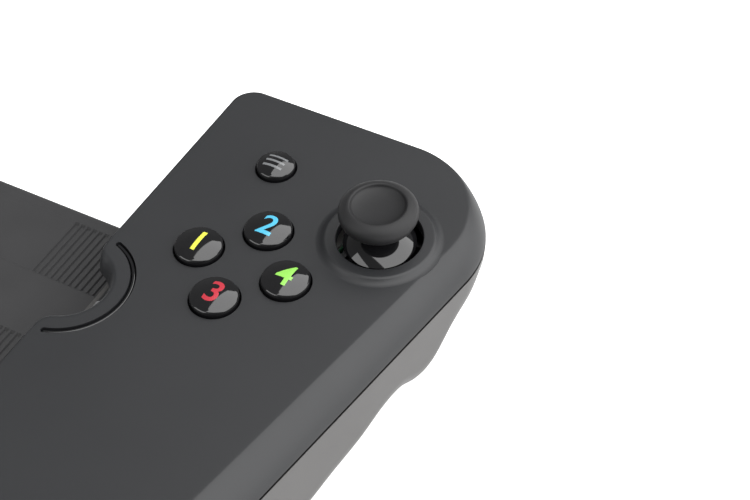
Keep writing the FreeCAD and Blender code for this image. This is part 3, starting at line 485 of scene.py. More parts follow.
caps = [domed_button(node + "_cap", face_button_radius, spot) for node, spot in button_spots.items()]
caps.append(domed_button("menu_button_cap", menu_button_radius, menu))
for cap in caps:
    node = cap.name[:-4]
    dressed(smoothed(cap, 40.0), gloss_black, "gloss_black", node, node)


# Signs: plain numbers on the four face buttons and three bars on the menu button, each
# printed in thin coloured enamel that follows the button's dome.
def enamel(name, colour):
    """Printed enamel: an even colour with the faintest mottle."""
    finish = Finish(name, Roughness=0.22)
    mottle = finish.grain(2500.0, 2.0)
    shade = finish.mixed(mottle, tuple(c * 0.93 for c in colour) + (1.0,), colour + (1.0,))
    return finish.feed(Base_Color=shade)


def laid_on_dome(piece, spot, radius):
    """Divides a flat sign finely and lays it on a button's top."""
    alone(piece)
    bpy.ops.object.mode_set(mode="EDIT")
    bpy.ops.mesh.select_all(action="SELECT")
    bpy.ops.mesh.remove_doubles(threshold=1e-6)
    bpy.ops.mesh.quads_convert_to_tris()
    bpy.ops.mesh.subdivide(number_cuts=7)
    bpy.ops.object.mode_set(mode="OBJECT")
    height = button_dome(radius)
    lowest = min(v.co.z for v in piece.data.vertices)
    for vertex in piece.data.vertices:
        lift = 0.03 if vertex.co.z > lowest + 1e-6 else -0.05
        x, y = vertex.co.x * 1000, vertex.co.y * 1000
        vertex.co = Vector((x + spot.x, y + spot.y, height(math.hypot(x, y)) + lift)) * 0.001


signs = {"face_button_inner": ("1", (0.62, 0.64, 0.07)), "face_button_upper": ("2", (0.075, 0.40, 0.58)),
         "face_button_lower": ("3", (0.40, 0.030, 0.045)), "face_button_outer": ("4", (0.24, 0.56, 0.09))}
for node, (number, colour) in signs.items():
    bpy.ops.object.select_all(action="DESELECT")
    bpy.ops.object.text_add()
    sign = bpy.context.object
    sign.data.body = number
    sign.data.align_x, sign.data.align_y = "CENTER", "CENTER"
    sign.data.size, sign.data.offset, sign.data.extrude = 0.0078, 0.00010, 0.00003
    sign.data.resolution_u = 8
    bpy.ops.object.convert(target="MESH")
    sign = bpy.context.object
    sign.name = sign.data.name = node + "_number"
    laid_on_dome(sign, button_spots[node], face_button_radius)
    sign.data.materials.append(enamel("enamel_" + number, colour))
    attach(sign, node)

bar_length, bar_width, bar_pitch, ink = 4.6, 0.56, 1.45, 0.06
bars = joined([block(-bar_length / 2, bar_length / 2, step - bar_width / 2, step + bar_width / 2, 0.0, ink)
               for step in (0.0, -bar_pitch, bar_pitch)])
bars.name = bars.data.name = "menu_button_bars"
laid_on_dome(bars, menu, menu_button_radius)
bars.data.materials.append(enamel("enamel_grey", (0.15, 0.155, 0.16)))
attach(bars, "menu_button")


# Arc strip: a thin glossy strip with a rounded crest, pressed into the narrow slot that
# runs round the thumb notch.
crest = ((0.4, 25.0), (0.4, 27.40), (0.37, 27.52), (0.3, 27.62), (0.18, 27.68), (0.08, 27.7))
strip = stacked("arc_strip", [lifted(arc_plan(half_width), z) for half_width, z in crest])
dressed(smoothed(strip), gloss_black, "gloss_black", "right_grip", "arc_insert")


# Sticks: a glossy stem that widens into a ball shaped skirt closing the well, and a
# soft ring shaped cap with a dished top pushed onto its neck.
def soft_rubber(name, colour):
    """Thermoplastic rubber: dull, very fine grain, slightly shiny where it is rubbed."""
    finish = Finish(name, Specular_IOR_Level=0.35)
    cloud = finish.grain(90.0, 3.0)
    fine = finish.grain(4200.0, 3.0, 0.65)
    dark = tuple(c * 0.85 for c in colour) + (1.0,)
    pale = tuple(c * 1.15 for c in colour) + (1.0,)
    shade = finish.mixed(cloud, dark, pale)
    return finish.feed(Base_Color=shade, Roughness=0.50 + 0.16 * cloud,
                       Normal=finish.bumped(fine, 0.30, 0.00002))


cap_rubber = soft_rubber("cap_rubber", (0.0095, 0.0095, 0.0102))
pivot, cap_seat, neck = 19.0, 32.87, 3.2


def sphere_arc(radius, start, stop, steps):
    """Arc about the stick's pivot from one angle off the level to another."""
    return [(radius * math.cos(math.radians(start + (stop - start) * k / steps)),
             pivot + radius * math.sin(math.radians(start + (stop - start) * k / steps)))
            for k in range(steps + 1)]


def stick_stem(name):
    """The stem: its foot in the module, the skirt about the pivot, and the neck."""
    profile = [(0, 16.4), (1.5, 16.4), (1.5, 28.78)] + sphere_arc(9.9, 80, 47.0, 14)
    profile += sphere_arc(11.3, 46.6, 46.6, 1)[:1] + sphere_arc(11.55, 47.6, 68.5, 24)
    profile += [(3.85, 29.86), (3.55, 30.02), (3.35, 30.26), (3.23, 30.6), (neck, 31.0),
                (neck, cap_seat + 2.35), (0, cap_seat + 2.35)]
    return turned(name, profile, stick_x, stick_y, 128)


def stick_cap(name):
    """The cap: a socket for the neck, a round ring outside and a shallow dish on top."""
    socket = neck + 0.05
    profile = [(0, cap_seat + 2.4), (socket, cap_seat + 2.4), (socket, cap_seat), (4.4, cap_seat)]
    profile += [(5.1, 32.92), (5.8, 33.08), (6.6, 33.42), (7.35, 33.98), (7.9, 34.62), (8.25, 35.32),
                (8.43, 36.02), (8.45, 36.65), (8.3, 37.25), (7.98, 37.76), (7.5, 38.18), (6.95, 38.48),
                (6.5, 38.63),
                (6.15, 38.67), (5.92, 38.58), (5.8, 38.4), (5.72, 38.15), (5.55, 37.92), (5.1, 37.7),
                (4.3, 37.46), (3.2, 37.3), (2.0, 37.21), (0.9, 37.18), (0, 37.17)]
    cap = turned(name, profile, stick_x, stick_y, 96)
    applied(cap, "SUBSURF", levels=1, render_levels=1)
    return cap


right_cap, right_stem = stick_cap("right_stick_cap_soft"), stick_stem("right_stick_stem_gloss")
left_cap = mirrored(copied(right_cap, "left_stick_cap_soft"))
left_stem = mirrored(copied(right_stem, "left_stick_stem_gloss"))
for piece, node, finish, slot in ((right_cap, "right_stick_cap", cap_rubber, "cap_rubber"),
                                  (left_cap, "left_stick_cap", cap_rubber, "cap_rubber"),
                                  (right_stem, "right_stick_stem", gloss_black, "gloss_black"),
                                  (left_stem, "left_stick_stem", gloss_black, "gloss_black")):
    dressed(smoothed(piece, 40.0), finish, slot, node.split("_")[0] + "_stick", node)


# Bottom shells: the rear halves, one moulding each, with a palm swell, a groove for
# the finger and a shoulder hump. They are open at the far end for the bumper and trigger,
# and have an ear round each end of the trigger's pin. Heights of the underside go along Y
# (side line) and along X (end line).
side_line = [(-74, 9.0), (-69, 6.0), (-60, 2.2), (-50, 0.6), (-31, 0.6), (-12, 0.6), (-4, 2.0),
             (6, 3.5), (14, 5.8), (20, 6.0), (26, 3.3), (31, 3.0), (38, 6.6), (46, 9.0), (58, 11.6),
             (69, 14.0), (74, 15.0)]
end_line = [(104.2, 10.6), (112.2, 10.6), (119.2, 9.4), (128.2, 4.6), (136.2, 1.2), (144.2, 0.0),
            (190.0, 0.0)]


def eased(line, t):
    """Smooth curve through the points of a line, at t."""
    k = max(i for i in range(len(line) - 1) if line[i][0] <= max(t, line[0][0] + 1e-6))
    (t0, v0), (t1, v1) = line[k], line[k + 1]
    before, after = line[max(k - 1, 0)], line[min(k + 2, len(line) - 1)]
    m0 = (v1 - before[1]) / (t1 - before[0])
    m1 = (after[1] - v0) / (after[0] - t0)
    u = (t - t0) / (t1 - t0)
    w = t1 - t0
    return ((2 * u ** 3 - 3 * u * u + 1) * v0 + (u ** 3 - 2 * u * u + u) * w * m0
            + (3 * u * u - 2 * u ** 3) * v1 + (u ** 3 - u * u) * w * m1)


def underside(x, y):
    """Height of the rear shell's outside: the higher of the two lines, softly joined."""
    a, b = eased(side_line, y), eased(end_line, x)
    blend = 1.2
    near = max(blend - abs(a - b), 0.0) / blend
    return max(a, b) + near * near * blend / 4


def step_up(value, start, stop):
    """Rises softly from 0 to 1 between two values."""
    share = min(max((value - start) / (stop - start), 0.0), 1.0)
    return share * share * (3 - 2 * share)


def rear_rings(wall, top, rounding, tight):
    """Rings of a rear half: down the wall, round the rim and in to the middle. The rim is
    rounded much more at the far outer corner, where the shell thins out."""
    outer = grip_plan(wall, wall, tight)
    rings = [lifted(outer, top)]
    more, round_steps, floor_steps = 5.5, 10, 16
    middle, middle_end, pitch = 146.0, 44.0, 2.2
    for k in range(round_steps + 1):
        share = 1 - math.cos(math.radians(90 * k / round_steps))
        drop = 1 - math.sin(math.radians(90 * k / round_steps))
        insets = [(wall + r * share, wall + r * share, tight + min(rounding, 1.2) * share)
                  for r in (rounding, rounding + more)]
        ring = []
        for (x0, y0), (x1, y1), (x2, y2) in zip(outer, grip_plan(*insets[0]), grip_plan(*insets[1])):
            far = step_up(y0, 22.0, 56.0) * step_up(x0, 150.0, 174.0)
            x, y = x1 + (x2 - x1) * far, y1 + (y2 - y1) * far
            bottom = underside(x, y) + wall
            radius = (rounding + more * far) * min(max((x0 - inner_edge - tight) / 6.0, 0.2), 1.0)
            ring.append((x, y, bottom + min(radius, top - 0.3 - bottom) * drop))
        rings.append(ring)
    last = rings[-1]
    for k in range(1, floor_steps + 1):
        share = k / floor_steps
        ring = []
        for x, y, _ in last:
            x1 = x + (middle - x) * share
            y1 = y + (pitch * round(max(-middle_end, min(middle_end, y)) / pitch) - y) * share
            ring.append((x1, y1, underside(x1, y1) + wall))
        rings.append(ring)
    return rings


# Screws as (x, y, height of the seat); feet as (y, end radius, height of the recess).
screws = [(127.2, -46.5, 9.0), (153.2, -57.0, 6.0), (170.3, 8.0, 8.0), (125.7, 35.0, 10.0)]
feet = [(-34.0, 4.0, 1.8), (28.5, 2.5, 4.2)]
foot_x, foot_half = 150.2, 12.0
pin_y, pin_z = 61.5, 12.8
bay_start, bay_end, lever_start, lever_end = 128.0, 166.0, 128.4, 165.6
jack_x, charge_x, socket_wall = 142.0, 131.5, -65.4


def oval(x, y, half, radius):
    """Plan of a bar along X with round ends."""
    run_out = half - radius
    return (bow(x + run_out, y, radius, 90, -90, 16) + [(x + run_out, y - radius)]
            + bow(x - run_out, y, radius, -90, -270, 16) + [(x - run_out, y + radius)])


def make_rear(name):
    """A rear half: its outside, less the hollow, the slot, the trigger's bay, the strap's
    pocket and the recesses of screws and feet."""
    rim = [lifted(grip_plan(inset, inset, inset), z) for inset, z in
           ((1.6, 21.5), (1.6, 19.6), (0.5, 19.6), (0.17, 20.84), (0.11, 20.9), (0.03, 20.89))]
    shell = stacked(name, rim + rear_rings(0.0, 20.86, 6.0, 0.0), sewn=True)
    hollow = stacked("rear_hollow", rear_rings(2.6, 22.5, 0.8, hollow_inset), sewn=True)
    for x, y, _ in screws:
        cut(hollow, bore(4.2, x, y, -2.0, 30.0, steps=48))
    for x0, x1 in ((bay_start - 2.2, bay_start), (bay_end, bay_end + 2.2)):
        cut(hollow, block(x0, x1, 49.5, 75.0, -5.0, 18.8))
    cut(hollow, block(155.0, 168.4, 32.7, 46.1, -5.0, 12.2))
    cut(shell, hollow, slot_cut())
    width, swing = bay_end - bay_start, 13.2
    barrel = [(0, 0), (swing, 0), (swing, width), (0, width)]
    sweep = level_turned(barrel, (bay_start, pin_y, pin_z), "Y", 128)
    cut(shell, sweep, block(bay_start, bay_end, 57.5, 80.0, pin_z, 24.0),
        block(bay_start, bay_end, pin_y, 80.0, -5.0, 20.0))
    ear = [(0, 0), (1.7, 0.05), (2.3, 0.3), (2.62, 0.75), (2.7, 1.3), (2.7, 4.2), (0, 4.2)]
    far_ear = [(r, 4.2 - h) for r, h in reversed(ear)]
    cut(shell, level_turned(ear, (bay_start - 4.2, pin_y, pin_z), "Y", 48),
        level_turned(far_ear, (bay_end, pin_y, pin_z), "Y", 48), how="UNION")
    cut(shell, block(100.0, 119.6, -28.2, 28.2, 12.1, 14.7), block(111.4, 119.6, -28.2, 28.2, 12.3, 15.35))
    for x, y, seat in screws:
        recess = [(0, -3), (2.7, -3), (2.7, seat), (1.4, seat), (1.4, 22.0), (0, 22.0)]
        cut(shell, turned("recess", recess, x, y, 48))
    for y, radius, top in feet:
        plan = oval(foot_x, y, foot_half + 0.1, radius + 0.1)
        cut(shell, stacked("foot_recess", [lifted(plan, -2.0), lifted(plan, top)]))
    return shell


rear_plastic = satin_plastic("rear_plastic", (0.053, 0.051, 0.0495), 0.33, 0.00002)
right_rear = make_rear("right_bottom_shell_skin")
left_rear = mirrored(copied(right_rear, "left_bottom_shell_skin"))
cut(right_rear, block(119.0, 124.0, -4.1, 4.1, 18.45, 21.45))
jack_z, charge_z = 16.5, 15.2
jack_cut = level_turned([(0, 0), (2.7, 0), (2.7, 5), (0, 5)], (jack_x, socket_wall - 0.1, jack_z), "X", 64)
charge_cut = stacked("charge_cut", [[(x, y, z) for x, z in oval(charge_x, charge_z, 4.65, 1.8)]
                                    for y in (-70.0, socket_wall)])
cut(right_rear, jack_cut, charge_cut)
for shell, node in ((right_rear, "right_bottom_shell"), (left_rear, "left_bottom_shell")):
    dressed(smoothed(shell), rear_plastic, "shell_rear", node.split("_")[0] + "_grip", node)


# Feet: two bars of soft rubber under each grip, pressed into recesses. Their lower edges
# are rounded and three fine grooves run along each, so that they grip the table.
foot_rubber = soft_rubber("foot_rubber", (0.024, 0.024, 0.025))
for side in ("right", "left"):
    bars = []
    for y, radius, top in feet:
        rings = [lifted(oval(foot_x, y, foot_half - inset, radius - inset), z)
                 for z, inset in ((0.0, 0.55), (0.08, 0.25), (0.3, 0.06), (0.6, 0.0), (top, 0.0))]
        bar = stacked(side + "_feet_soft", rings)
        for step in (-1, 0, 1):
            groove = y + step * radius * 0.5
            cut(bar, block(foot_x - 9.7, foot_x + 9.7, groove - 0.18, groove + 0.18, -1.0, 0.22))
        bars.append(bar)
    foot = joined(bars)
    foot = mirrored(foot) if side == "left" else foot
    dressed(smoothed(foot), foot_rubber, "foot_rubber", side + "_grip", side + "_feet")


# Screws: four steel screws close each grip from below. Each has a low domed head with a
# cross recess, sunk deep in its hole.
def bright_steel(name, colour, rough):
    """Plated steel with fine drawn lines and a few dull specks."""
    finish = Finish(name, Metallic=1.0)
    lines = finish.node("ShaderNodeTexNoise", {}, Scale=900.0, Detail=3.0,
                        Vector=finish.node("ShaderNodeMapping", {}, finish.place(), at={3: (1.0, 14.0, 1.0)}))
    specks = finish.grain(2400.0, 3.0, 0.7)
    shade = finish.mixed(lines, tuple(c * 0.8 for c in colour) + (1.0,), colour + (1.0,))
    return finish.feed(Base_Color=shade, Roughness=rough + 0.14 * lines + 0.10 * (specks > 0.62),
                       Normal=finish.bumped(lines, 0.12, 0.00001))


steel = bright_steel("steel", (0.56, 0.56, 0.57), 0.22)
for side in ("right", "left"):
    made = []
    for x, y, seat in screws:
        profile = [(0, seat - 1.6), (1.2, seat - 1.6), (1.9, seat - 1.45), (2.3, seat - 1.1),
                   (2.4, seat - 0.7), (2.4, seat), (1.2, seat), (1.2, 24.2), (0.9, 24.6), (0, 24.6)]
        screw = turned(side + "_screws_plated", profile, x, y, 48)
        cut(screw, block(x - 1.3, x + 1.3, y - 0.3, y + 0.3, seat - 3, seat - 0.75),
            block(x - 0.3, x + 0.3, y - 1.3, y + 1.3, seat - 3, seat - 0.75))
        made.append(screw)
    group = joined(made)
    group = mirrored(group) if side == "left" else group
    dressed(smoothed(group), steel, "steel", side + "_grip", side + "_screws")


# Bumpers: a gloss bar across each far corner, under the face. It follows the corner's
# outline, its edges are softly rounded, and a shallow step marks where the finger lies.
def far_edge(x, inset):
    """Y of the grip's far outline at x."""
    x1, y1 = outer_edge - far_radius, half_length - far_radius
    radius = far_radius - inset
    return y1 + (radius if x <= x1 else math.sqrt(radius * radius - (x - x1) ** 2))


def bumper_plan(inset, drop=0.0):
    """Plan of the bumper: far edge along the outline, near edge straight."""
    x0, x1 = lever_start + inset, lever_end - inset
    xs = [x0 + (x1 - x0) * k / 40 for k in range(41)]
    return [(x, far_edge(x, inset + drop)) for x in xs] + [(x1, 61.8 + inset), (x0, 61.8 + inset)]


bumper_levels = [(15.9, 0.8, 0.0), (16.02, 0.42, 0.0), (16.25, 0.18, 0.0), (16.6, 0.04, 0.0),
                 (17.0, 0.0, 0.0), (19.3, 0.0, 0.0), (19.6, 0.0, 0.18), (20.6, 0.0, 0.18),
                 (20.9, 0.1, 0.2), (21.04, 0.25, 0.2), (21.1, 0.5, 0.2)]
right_bumper = stacked("right_bumper_gloss", [lifted(bumper_plan(inset, drop), z)
                                              for z, inset, drop in bumper_levels])
cut(right_bumper, block(130.2, 163.8, 63.0, 64.6, 17.3, 19.9))
left_bumper = mirrored(copied(right_bumper, "left_bumper_gloss"))
for piece in (right_bumper, left_bumper):
    node = piece.name[:-6]
    dressed(smoothed(piece), gloss_black, "gloss_black", node, node)


# Triggers: curved levers below the bumpers, moulded in the rear shell's plastic, hollow
# above and hinged on a pin through their inner end.
def trigger_side(inset):
    """The lever seen from its end, drawn in by an inset, as (y, z)."""
    front = [(68.7, 15.3), (68.68, 13.6), (68.62, 11.8), (68.5, 9.5), (67.9, 7.7), (66.9, 5.9), (65.6, 4.4),
             (63.8, 3.2), (61.8, 2.5), (59.5, 2.2), (57.2, 2.3), (55.4, 2.7), (54.0, 3.2), (52.6, 4.1)]
    heel_radius = 12.8
    heel = [(pin_y + heel_radius * math.cos(math.radians(a)), pin_z + heel_radius * math.sin(math.radians(a)))
            for a in range(216, 180, -5)]
    side = front + heel + [(57.0, 15.3)]
    return [(y + inset * (60.0 - y) / 9.0, z + inset * (9.5 - z) / 7.0) for y, z in side]


rounded_ends = [(0.0, 0.8), (0.08, 0.45), (0.35, 0.18), (0.8, 0.0)]
spans = [(lever_start + run_in, inset) for run_in, inset in rounded_ends]
spans += [(x, 0.0) for x in (134.0, 141.0, 147.0, 152.0, 154.0, 156.0, 158.0, 160.0, 162.0, 163.6)]
spans += [(lever_end - run_in, inset) for run_in, inset in reversed(rounded_ends)]
trigger_rings = []
for x, inset in spans:
    limit = far_edge(x, 0.3)
    trigger_rings.append([(x, min(y, limit), z) for y, z in trigger_side(inset)])
right_trigger = stacked("right_trigger_moulding", trigger_rings)
cut(right_trigger, block(130.6, 163.4, 53.5, 65.4, 7.6, 17.0),
    level_turned([(0, 0), (1.06, 0), (1.06, 40), (0, 40)], (bay_start - 1.0, pin_y, pin_z), "Y", 48))
left_trigger = mirrored(copied(right_trigger, "left_trigger_moulding"))
for piece in (right_trigger, left_trigger):
    node = piece.name[:-9]
    dressed(smoothed(piece, 28.0), rear_plastic, "shell_rear", node, node)


# Direction pad: a glossy cross in the left grip, dished on top, with its edges rolled
# and a small arrow sunk in each arm. Below it are the ears that ride on its pivot.
def cross_plan(inset):
    """Plus shaped plan about the pad's middle, with rounded corners."""
    reach, arm, outer, inner = 11.0 - inset, 3.8 - inset, max(1.0 - inset, 0.15), 1.0 + inset
    corners = [(reach - outer, arm - outer, outer, 90, 0), (reach - outer, outer - arm, outer, 0, -90),
               (arm + inner, -arm - inner, inner, 90, 180)]
    arcs, points = [], []
    for quarter in range(4):
        c, s = math.cos(-math.radians(90 * quarter)), math.sin(-math.radians(90 * quarter))
        for x, y, radius, start, stop in corners:
            arc = bow(x, y, radius, start, stop, 6) + bow(x, y, radius, stop, stop, 1)
            arcs.append([(px * c - py * s - diamond.x, px * s + py * c + diamond.y) for px, py in arc])
    for arc, following in zip(arcs, arcs[1:] + arcs[:1]):
        points += arc + run(arc[-1], following[0], 8)[1:]
    return points


pad_middle, dish_radius, pad_pivot = 29.7, 26.0, 23.4


def dish(x, y):
    """Height of the pad's dished top."""
    reach = math.hypot(x + diamond.x, y - diamond.y)
    return pad_middle + dish_radius - math.sqrt(dish_radius ** 2 - reach ** 2)


pad_rings = [lifted(cross_plan(0.0), z) for z in (26.1, 29.2)]
for inset, drop in ((0.04, 0.52), (0.14, 0.32), (0.3, 0.14), (0.5, 0.04), (0.75, 0.0)):
    pad_rings.append([(x, y, dish(x, y) - drop) for x, y in cross_plan(inset)])
for step in range(1, 12):
    share = 1 - step / 12
    pad_rings.append([(-diamond.x + (x + diamond.x) * share, diamond.y + (y - diamond.y) * share,
                       dish(-diamond.x + (x + diamond.x) * share, diamond.y + (y - diamond.y) * share))
                      for x, y in cross_plan(0.75)])
pad = stacked("direction_pad_gloss", pad_rings)
for quarter in range(4):
    arrow = [(0.0, 9.6), (1.5, 7.4), (-1.5, 7.4)]
    a = -math.radians(90 * quarter)
    plan = [(x * math.cos(a) - y * math.sin(a) - diamond.x, x * math.sin(a) + y * math.cos(a) + diamond.y)
            for x, y in arrow]
    cut(pad, stacked("arrow", [[(x, y, dish(x, y) - 0.35) for x, y in plan], lifted(plan, 33.0)]))
for x, y in ((9.4, 0), (-9.4, 0), (0, 9.4), (0, -9.4)):
    cut(pad, turned("peg", [(0, 24.4), (1.0, 24.4), (1.2, 24.6), (1.2, 27.0), (0, 27.0)],
                    x - diamond.x, y + diamond.y, 32), how="UNION")
for y0, y1 in ((2.6, 4.4), (-4.4, -2.6)):
    cut(pad, block(-diamond.x - 1.9, -diamond.x + 1.9, diamond.y + y0, diamond.y + y1, 21.8, 27.0),
        how="UNION")
cut(pad, level_turned([(0, 0), (0.85, 0), (0.85, 12), (0, 12)],
                      (-diamond.x, diamond.y + 6.0, pad_pivot), "X", 32))
dressed(smoothed(pad), gloss_black, "gloss_black", "direction_pad", "direction_pad")


# Strap: a flexible band behind the tablet, moulded in two halves that meet in the middle.
# It has beaded edges, a raised middle over the cable and a ribbed stretch at each fold.
strap_rubber = soft_rubber("strap_rubber", (0.026, 0.026, 0.027))
strap_height, groove_depth = 13.4, 0.45
half_section = [(28.0, 0.0), (27.85, 0.5), (27.4, 0.88), (26.6, 1.1), (25.2, 1.1), (24.6, 0.95), (24.2, 0.72),
                (16.0, 0.72), (8.4, 0.72), (7.9, 0.95), (7.3, 1.1)]
section = half_section + [(-y, h) for y, h in reversed(half_section)]
section += [(y, -h) for y, h in reversed(section[1:-1])]
strap_stops = [119.0, 118.6, 114.0, 110.0]
for rib in range(11):
    middle = 108.2 - rib * 1.6
    strap_stops += [middle + 0.55, middle + 0.3, middle - 0.3, middle - 0.55]
first_rib, last_rib = 4, 48
strap_stops += [90.0, 80.0, 60.0, 40.0, 20.0, 0.0]
for side in ("right", "left"):
    rings = []
    for k, x in enumerate(strap_stops):
        in_groove = first_rib <= k < last_rib and (k % 4) in (1, 2)
        rings.append([(x, y, strap_height + h * (groove_depth if in_groove and 8.0 < abs(y) < 24.4 else 1.0))
                      for y, h in section])
    half_strap = stacked(side + "_strap_half", rings)
    if side == "left":
        mirrored(half_strap)
    sign = 1 if side == "right" else -1
    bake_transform(smoothed(half_strap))
    dressed(half_strap, strap_rubber, "strap_rubber", None, side + "_strap_end", "bridge_strap")


# Slot liners: thin soft strips on the slot's floor, under the tablet's end. Fine ribs run
# along them, so that the tablet is held without rattling.
for side in ("right", "left"):
    ribs = [(111.2, slot_floor), (111.2, 16.7)]
    for k in range(10):
        x = 111.35 + k * 0.8
        ribs += [(x, 16.72), (x + 0.15, 16.84), (x + 0.45, 16.84), (x + 0.6, 16.72)]
    ribs += [(119.35, 16.7), (119.35, slot_floor)]
    liner = stacked(side + "_slot_liner_soft", [[(x, y, z) for x, z in ribs] for y in (-57.0, 57.0)])
    if side == "left":
        mirrored(liner)
    dressed(smoothed(liner), foot_rubber, "foot_rubber", side + "_grip", side + "_slot_liner")


# Tablet plug: a flat plated tongue with round edges and eight gilt contacts, in a plastic
# collar that stands out of the slot's end wall.
plug_height = 19.95


def plug_ring(x, half_y, half_z, corner):
    """An upright ring at x, with rounded corners, about the plug's axis."""
    y, z = half_y - corner, half_z - corner
    outline = bow(y, z, corner, 90, 0, 6) + bow(y, -z, corner, 0, -90, 6)
    outline += bow(-y, -z, corner, -90, -180, 6) + bow(-y, z, corner, 180, 90, 6)
    return [(x, y, plug_height + z) for y, z in outline]


tongue = stacked("plug_tongue", [plug_ring(120.4, 3.35, 0.75, 0.7), plug_ring(114.0, 3.35, 0.75, 0.7),
                                 plug_ring(113.75, 3.2, 0.62, 0.58), plug_ring(113.65, 2.9, 0.4, 0.38)])
dressed(smoothed(tongue), steel, "steel", "right_grip")
collar = stacked("plug_collar", [plug_ring(124.35, 7.0, 3.3, 0.3), plug_ring(122.85, 7.0, 3.3, 0.3),
                                 plug_ring(122.85, 4.0, 1.4, 0.5), plug_ring(120.5, 4.0, 1.4, 0.5),
                                 plug_ring(120.35, 3.85, 1.25, 0.45)])
inner_plastic = satin_plastic("inner_plastic", (0.030, 0.030, 0.031), 0.45, 0.00002)
dressed(smoothed(collar), inner_plastic, "inner_plastic", "right_grip", "tablet_plug")
gilt = bright_steel("gilt", (0.83, 0.58, 0.22), 0.25)
contacts, contact_pitch = [], 0.7
for face in (-1, 1):
    for k in range(8):
        y = (k - 3.5) * contact_pitch
        z = plug_height + face * 0.75
        contacts.append(block(114.7, 116.7, y - 0.22, y + 0.22, z - 0.03, z + 0.03))
contacts = joined(contacts)
contacts.name = contacts.data.name = "plug_contacts"
applied(contacts, "BEVEL", width=0.00002, segments=2)
dressed(contacts, gilt, "steel", "right_grip")


# Sockets: the headphone socket's nose has a bright ring pressed round its mouth. The
# charging socket keeps its own shape, a bright shell, and is coloured further down.
ring_profile = [(1.8, 0.0), (2.35, 0.0), (2.45, 0.08), (2.5, 0.2), (2.5, 0.5), (1.8, 0.5), (1.8, 0.0)]
jack_ring = level_turned(ring_profile, (jack_x, -68.3, jack_z), "X", 64)
jack_ring.name = jack_ring.data.name = "headphone_ring"
dressed(smoothed(jack_ring), steel, "steel", "right_grip")


# Inner pieces: boards, mats, stick modules, springs and pins keep their own shapes and
# get the finish of what they are made of.
def green_board(name):
    """Printed board: green mask over copper tracks, with bright pads."""
    finish = Finish(name, Roughness=0.3)
    weave = finish.grain(1400.0, 2.0)
    tracks = finish.node("ShaderNodeTexVoronoi", {"distance": "MANHATTAN", "feature": "DISTANCE_TO_EDGE"},
                         Vector=finish.place(), Scale=260.0)
    track = tracks < 0.09
    squares = finish.node("ShaderNodeTexVoronoi", {"distance": "CHEBYCHEV"},
                          Vector=finish.place(), Scale=420.0)
    pads = squares < 0.14
    mask = finish.mixed(weave, (0.008, 0.060, 0.022, 1.0), (0.012, 0.085, 0.032, 1.0))
    traced = finish.mixed(track, mask, (0.022, 0.13, 0.05, 1.0))
    shade = finish.mixed(pads, traced, (0.62, 0.60, 0.52, 1.0))
    return finish.feed(Base_Color=shade, Metallic=0.8 * pads, Normal=finish.bumped(track, 0.2, 0.00003))


def milky_silicone(name):
    """Clouded silicone: milky, with dull patches and a very fine grain."""
    finish = Finish(name, Specular_IOR_Level=0.4)
    cloud = finish.grain(300.0, 3.0)
    shade = finish.mixed(cloud, (0.30, 0.30, 0.29, 1.0), (0.40, 0.40, 0.385, 1.0))
    return finish.feed(Base_Color=shade, Roughness=0.45 + 0.2 * cloud,
                       Normal=finish.bumped(finish.grain(3000.0), 0.2, 0.00002))


def film_cable(name):
    """Flat film cable: amber film over copper tracks that run along it."""
    finish = Finish(name, Roughness=0.25)
    across = finish.node("ShaderNodeSeparateXYZ", {}, finish.place(), out=1)
    tracks = finish.node("ShaderNodeMath", {"operation": "FRACT"}, across * 1250.0) > 0.45
    shade = finish.mixed(tracks, (0.35, 0.17, 0.03, 1.0), (0.50, 0.24, 0.06, 1.0))
    return finish.feed(Base_Color=shade, Normal=finish.bumped(tracks, 0.25, 0.00003))


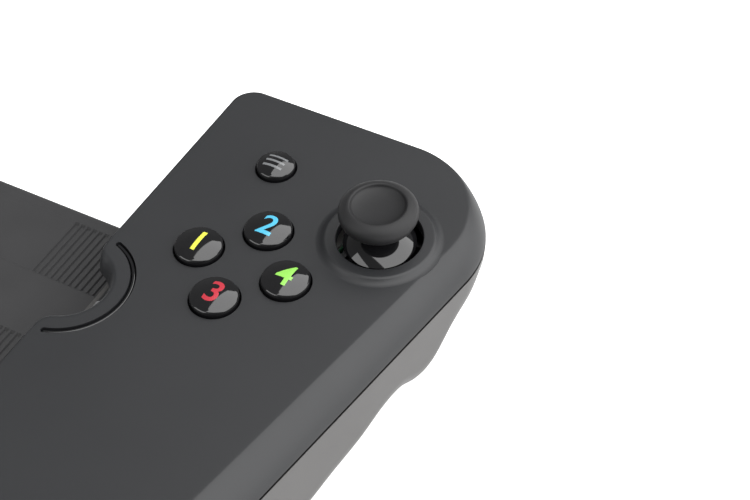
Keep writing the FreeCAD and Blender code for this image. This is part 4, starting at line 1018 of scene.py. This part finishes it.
board_finish, mat_finish = green_board("circuit_board"), milky_silicone("silicone")
inner_finishes = {"socket_board": board_finish, "button_mat": mat_finish, "direction_pad_mat": mat_finish,
                  "headphone_socket": inner_plastic, "charging_socket": steel, "direction_pad_pivot": steel,
                  "bridge_cable": film_cable("cable")}
for side in ("right_", "left_"):
    inner_finishes[side + "main_board"] = board_finish
    for name in ("stick_housing", "stick_carrier", "stick_sensors"):
        inner_finishes[side + name] = inner_plastic
    for name in ("stick_arch", "stick_spring", "trigger_pin", "trigger_spring", "strap_clamp"):
        inner_finishes[side + name] = steel
for node, finish in inner_finishes.items():
    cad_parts[node].data.materials.clear()
    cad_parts[node].data.materials.append(finish)


# Stage: a plain white floor under the feet, white all round, one large soft window to
# the right and behind, and a smaller one to the left and in front.
bpy.ops.object.select_all(action="DESELECT")
bpy.ops.mesh.primitive_plane_add(size=8.0, location=(0, 0, -0.0002))
floor = bpy.context.object
floor.name = "floor"
paper = Finish("floor_paper", Base_Color=(0.55, 0.55, 0.55, 1.0), Roughness=0.9, Specular_IOR_Level=0.1)
paths = paper.tree.nodes.new("ShaderNodeLightPath")
seen = 0.9 * Tone(paper, paths.outputs["Is Camera Ray"])
for name in ("Is Glossy Ray", "Is Transmission Ray"):
    seen = seen + 0.8 * Tone(paper, paths.outputs[name])
paper.shader.inputs["Emission Color"].default_value = (1, 1, 1, 1)
paper.tree.links.new(seen.socket, paper.shader.inputs["Emission Strength"])
floor.data.materials.append(paper.material)

world = bpy.data.worlds.new("studio")
bpy.context.scene.world = world
world.use_nodes = True
backdrop = world.node_tree.nodes["Background"]
backdrop.inputs["Color"].default_value = (1, 1, 1, 1)
light_path = world.node_tree.nodes.new("ShaderNodeLightPath")
strength = world.node_tree.nodes.new("ShaderNodeMix")
world.node_tree.links.new(light_path.outputs["Is Camera Ray"], strength.inputs[0])
strength.inputs[2].default_value, strength.inputs[3].default_value = 0.22, 1.0
world.node_tree.links.new(strength.outputs[0], backdrop.inputs["Strength"])

for name, place, aim, size, power in (
        ("window_right", (0.63, 0.66, 0.92), (-0.01, 0.66, 0.16), (2.4, 2.5), 62.0),
        ("window_left", (-0.51, -0.89, 0.76), look_at, (1.1, 0.8), 7.5)):
    lamp = bpy.data.lights.new(name, "AREA")
    lamp.shape, lamp.energy = "RECTANGLE", power
    lamp.size, lamp.size_y = size
    holder = bpy.data.objects.new(name, lamp)
    bpy.context.scene.collection.objects.link(holder)
    holder.location = place
    holder.rotation_euler = (Vector(aim) - Vector(place)).to_track_quat("-Z", "Y").to_euler()
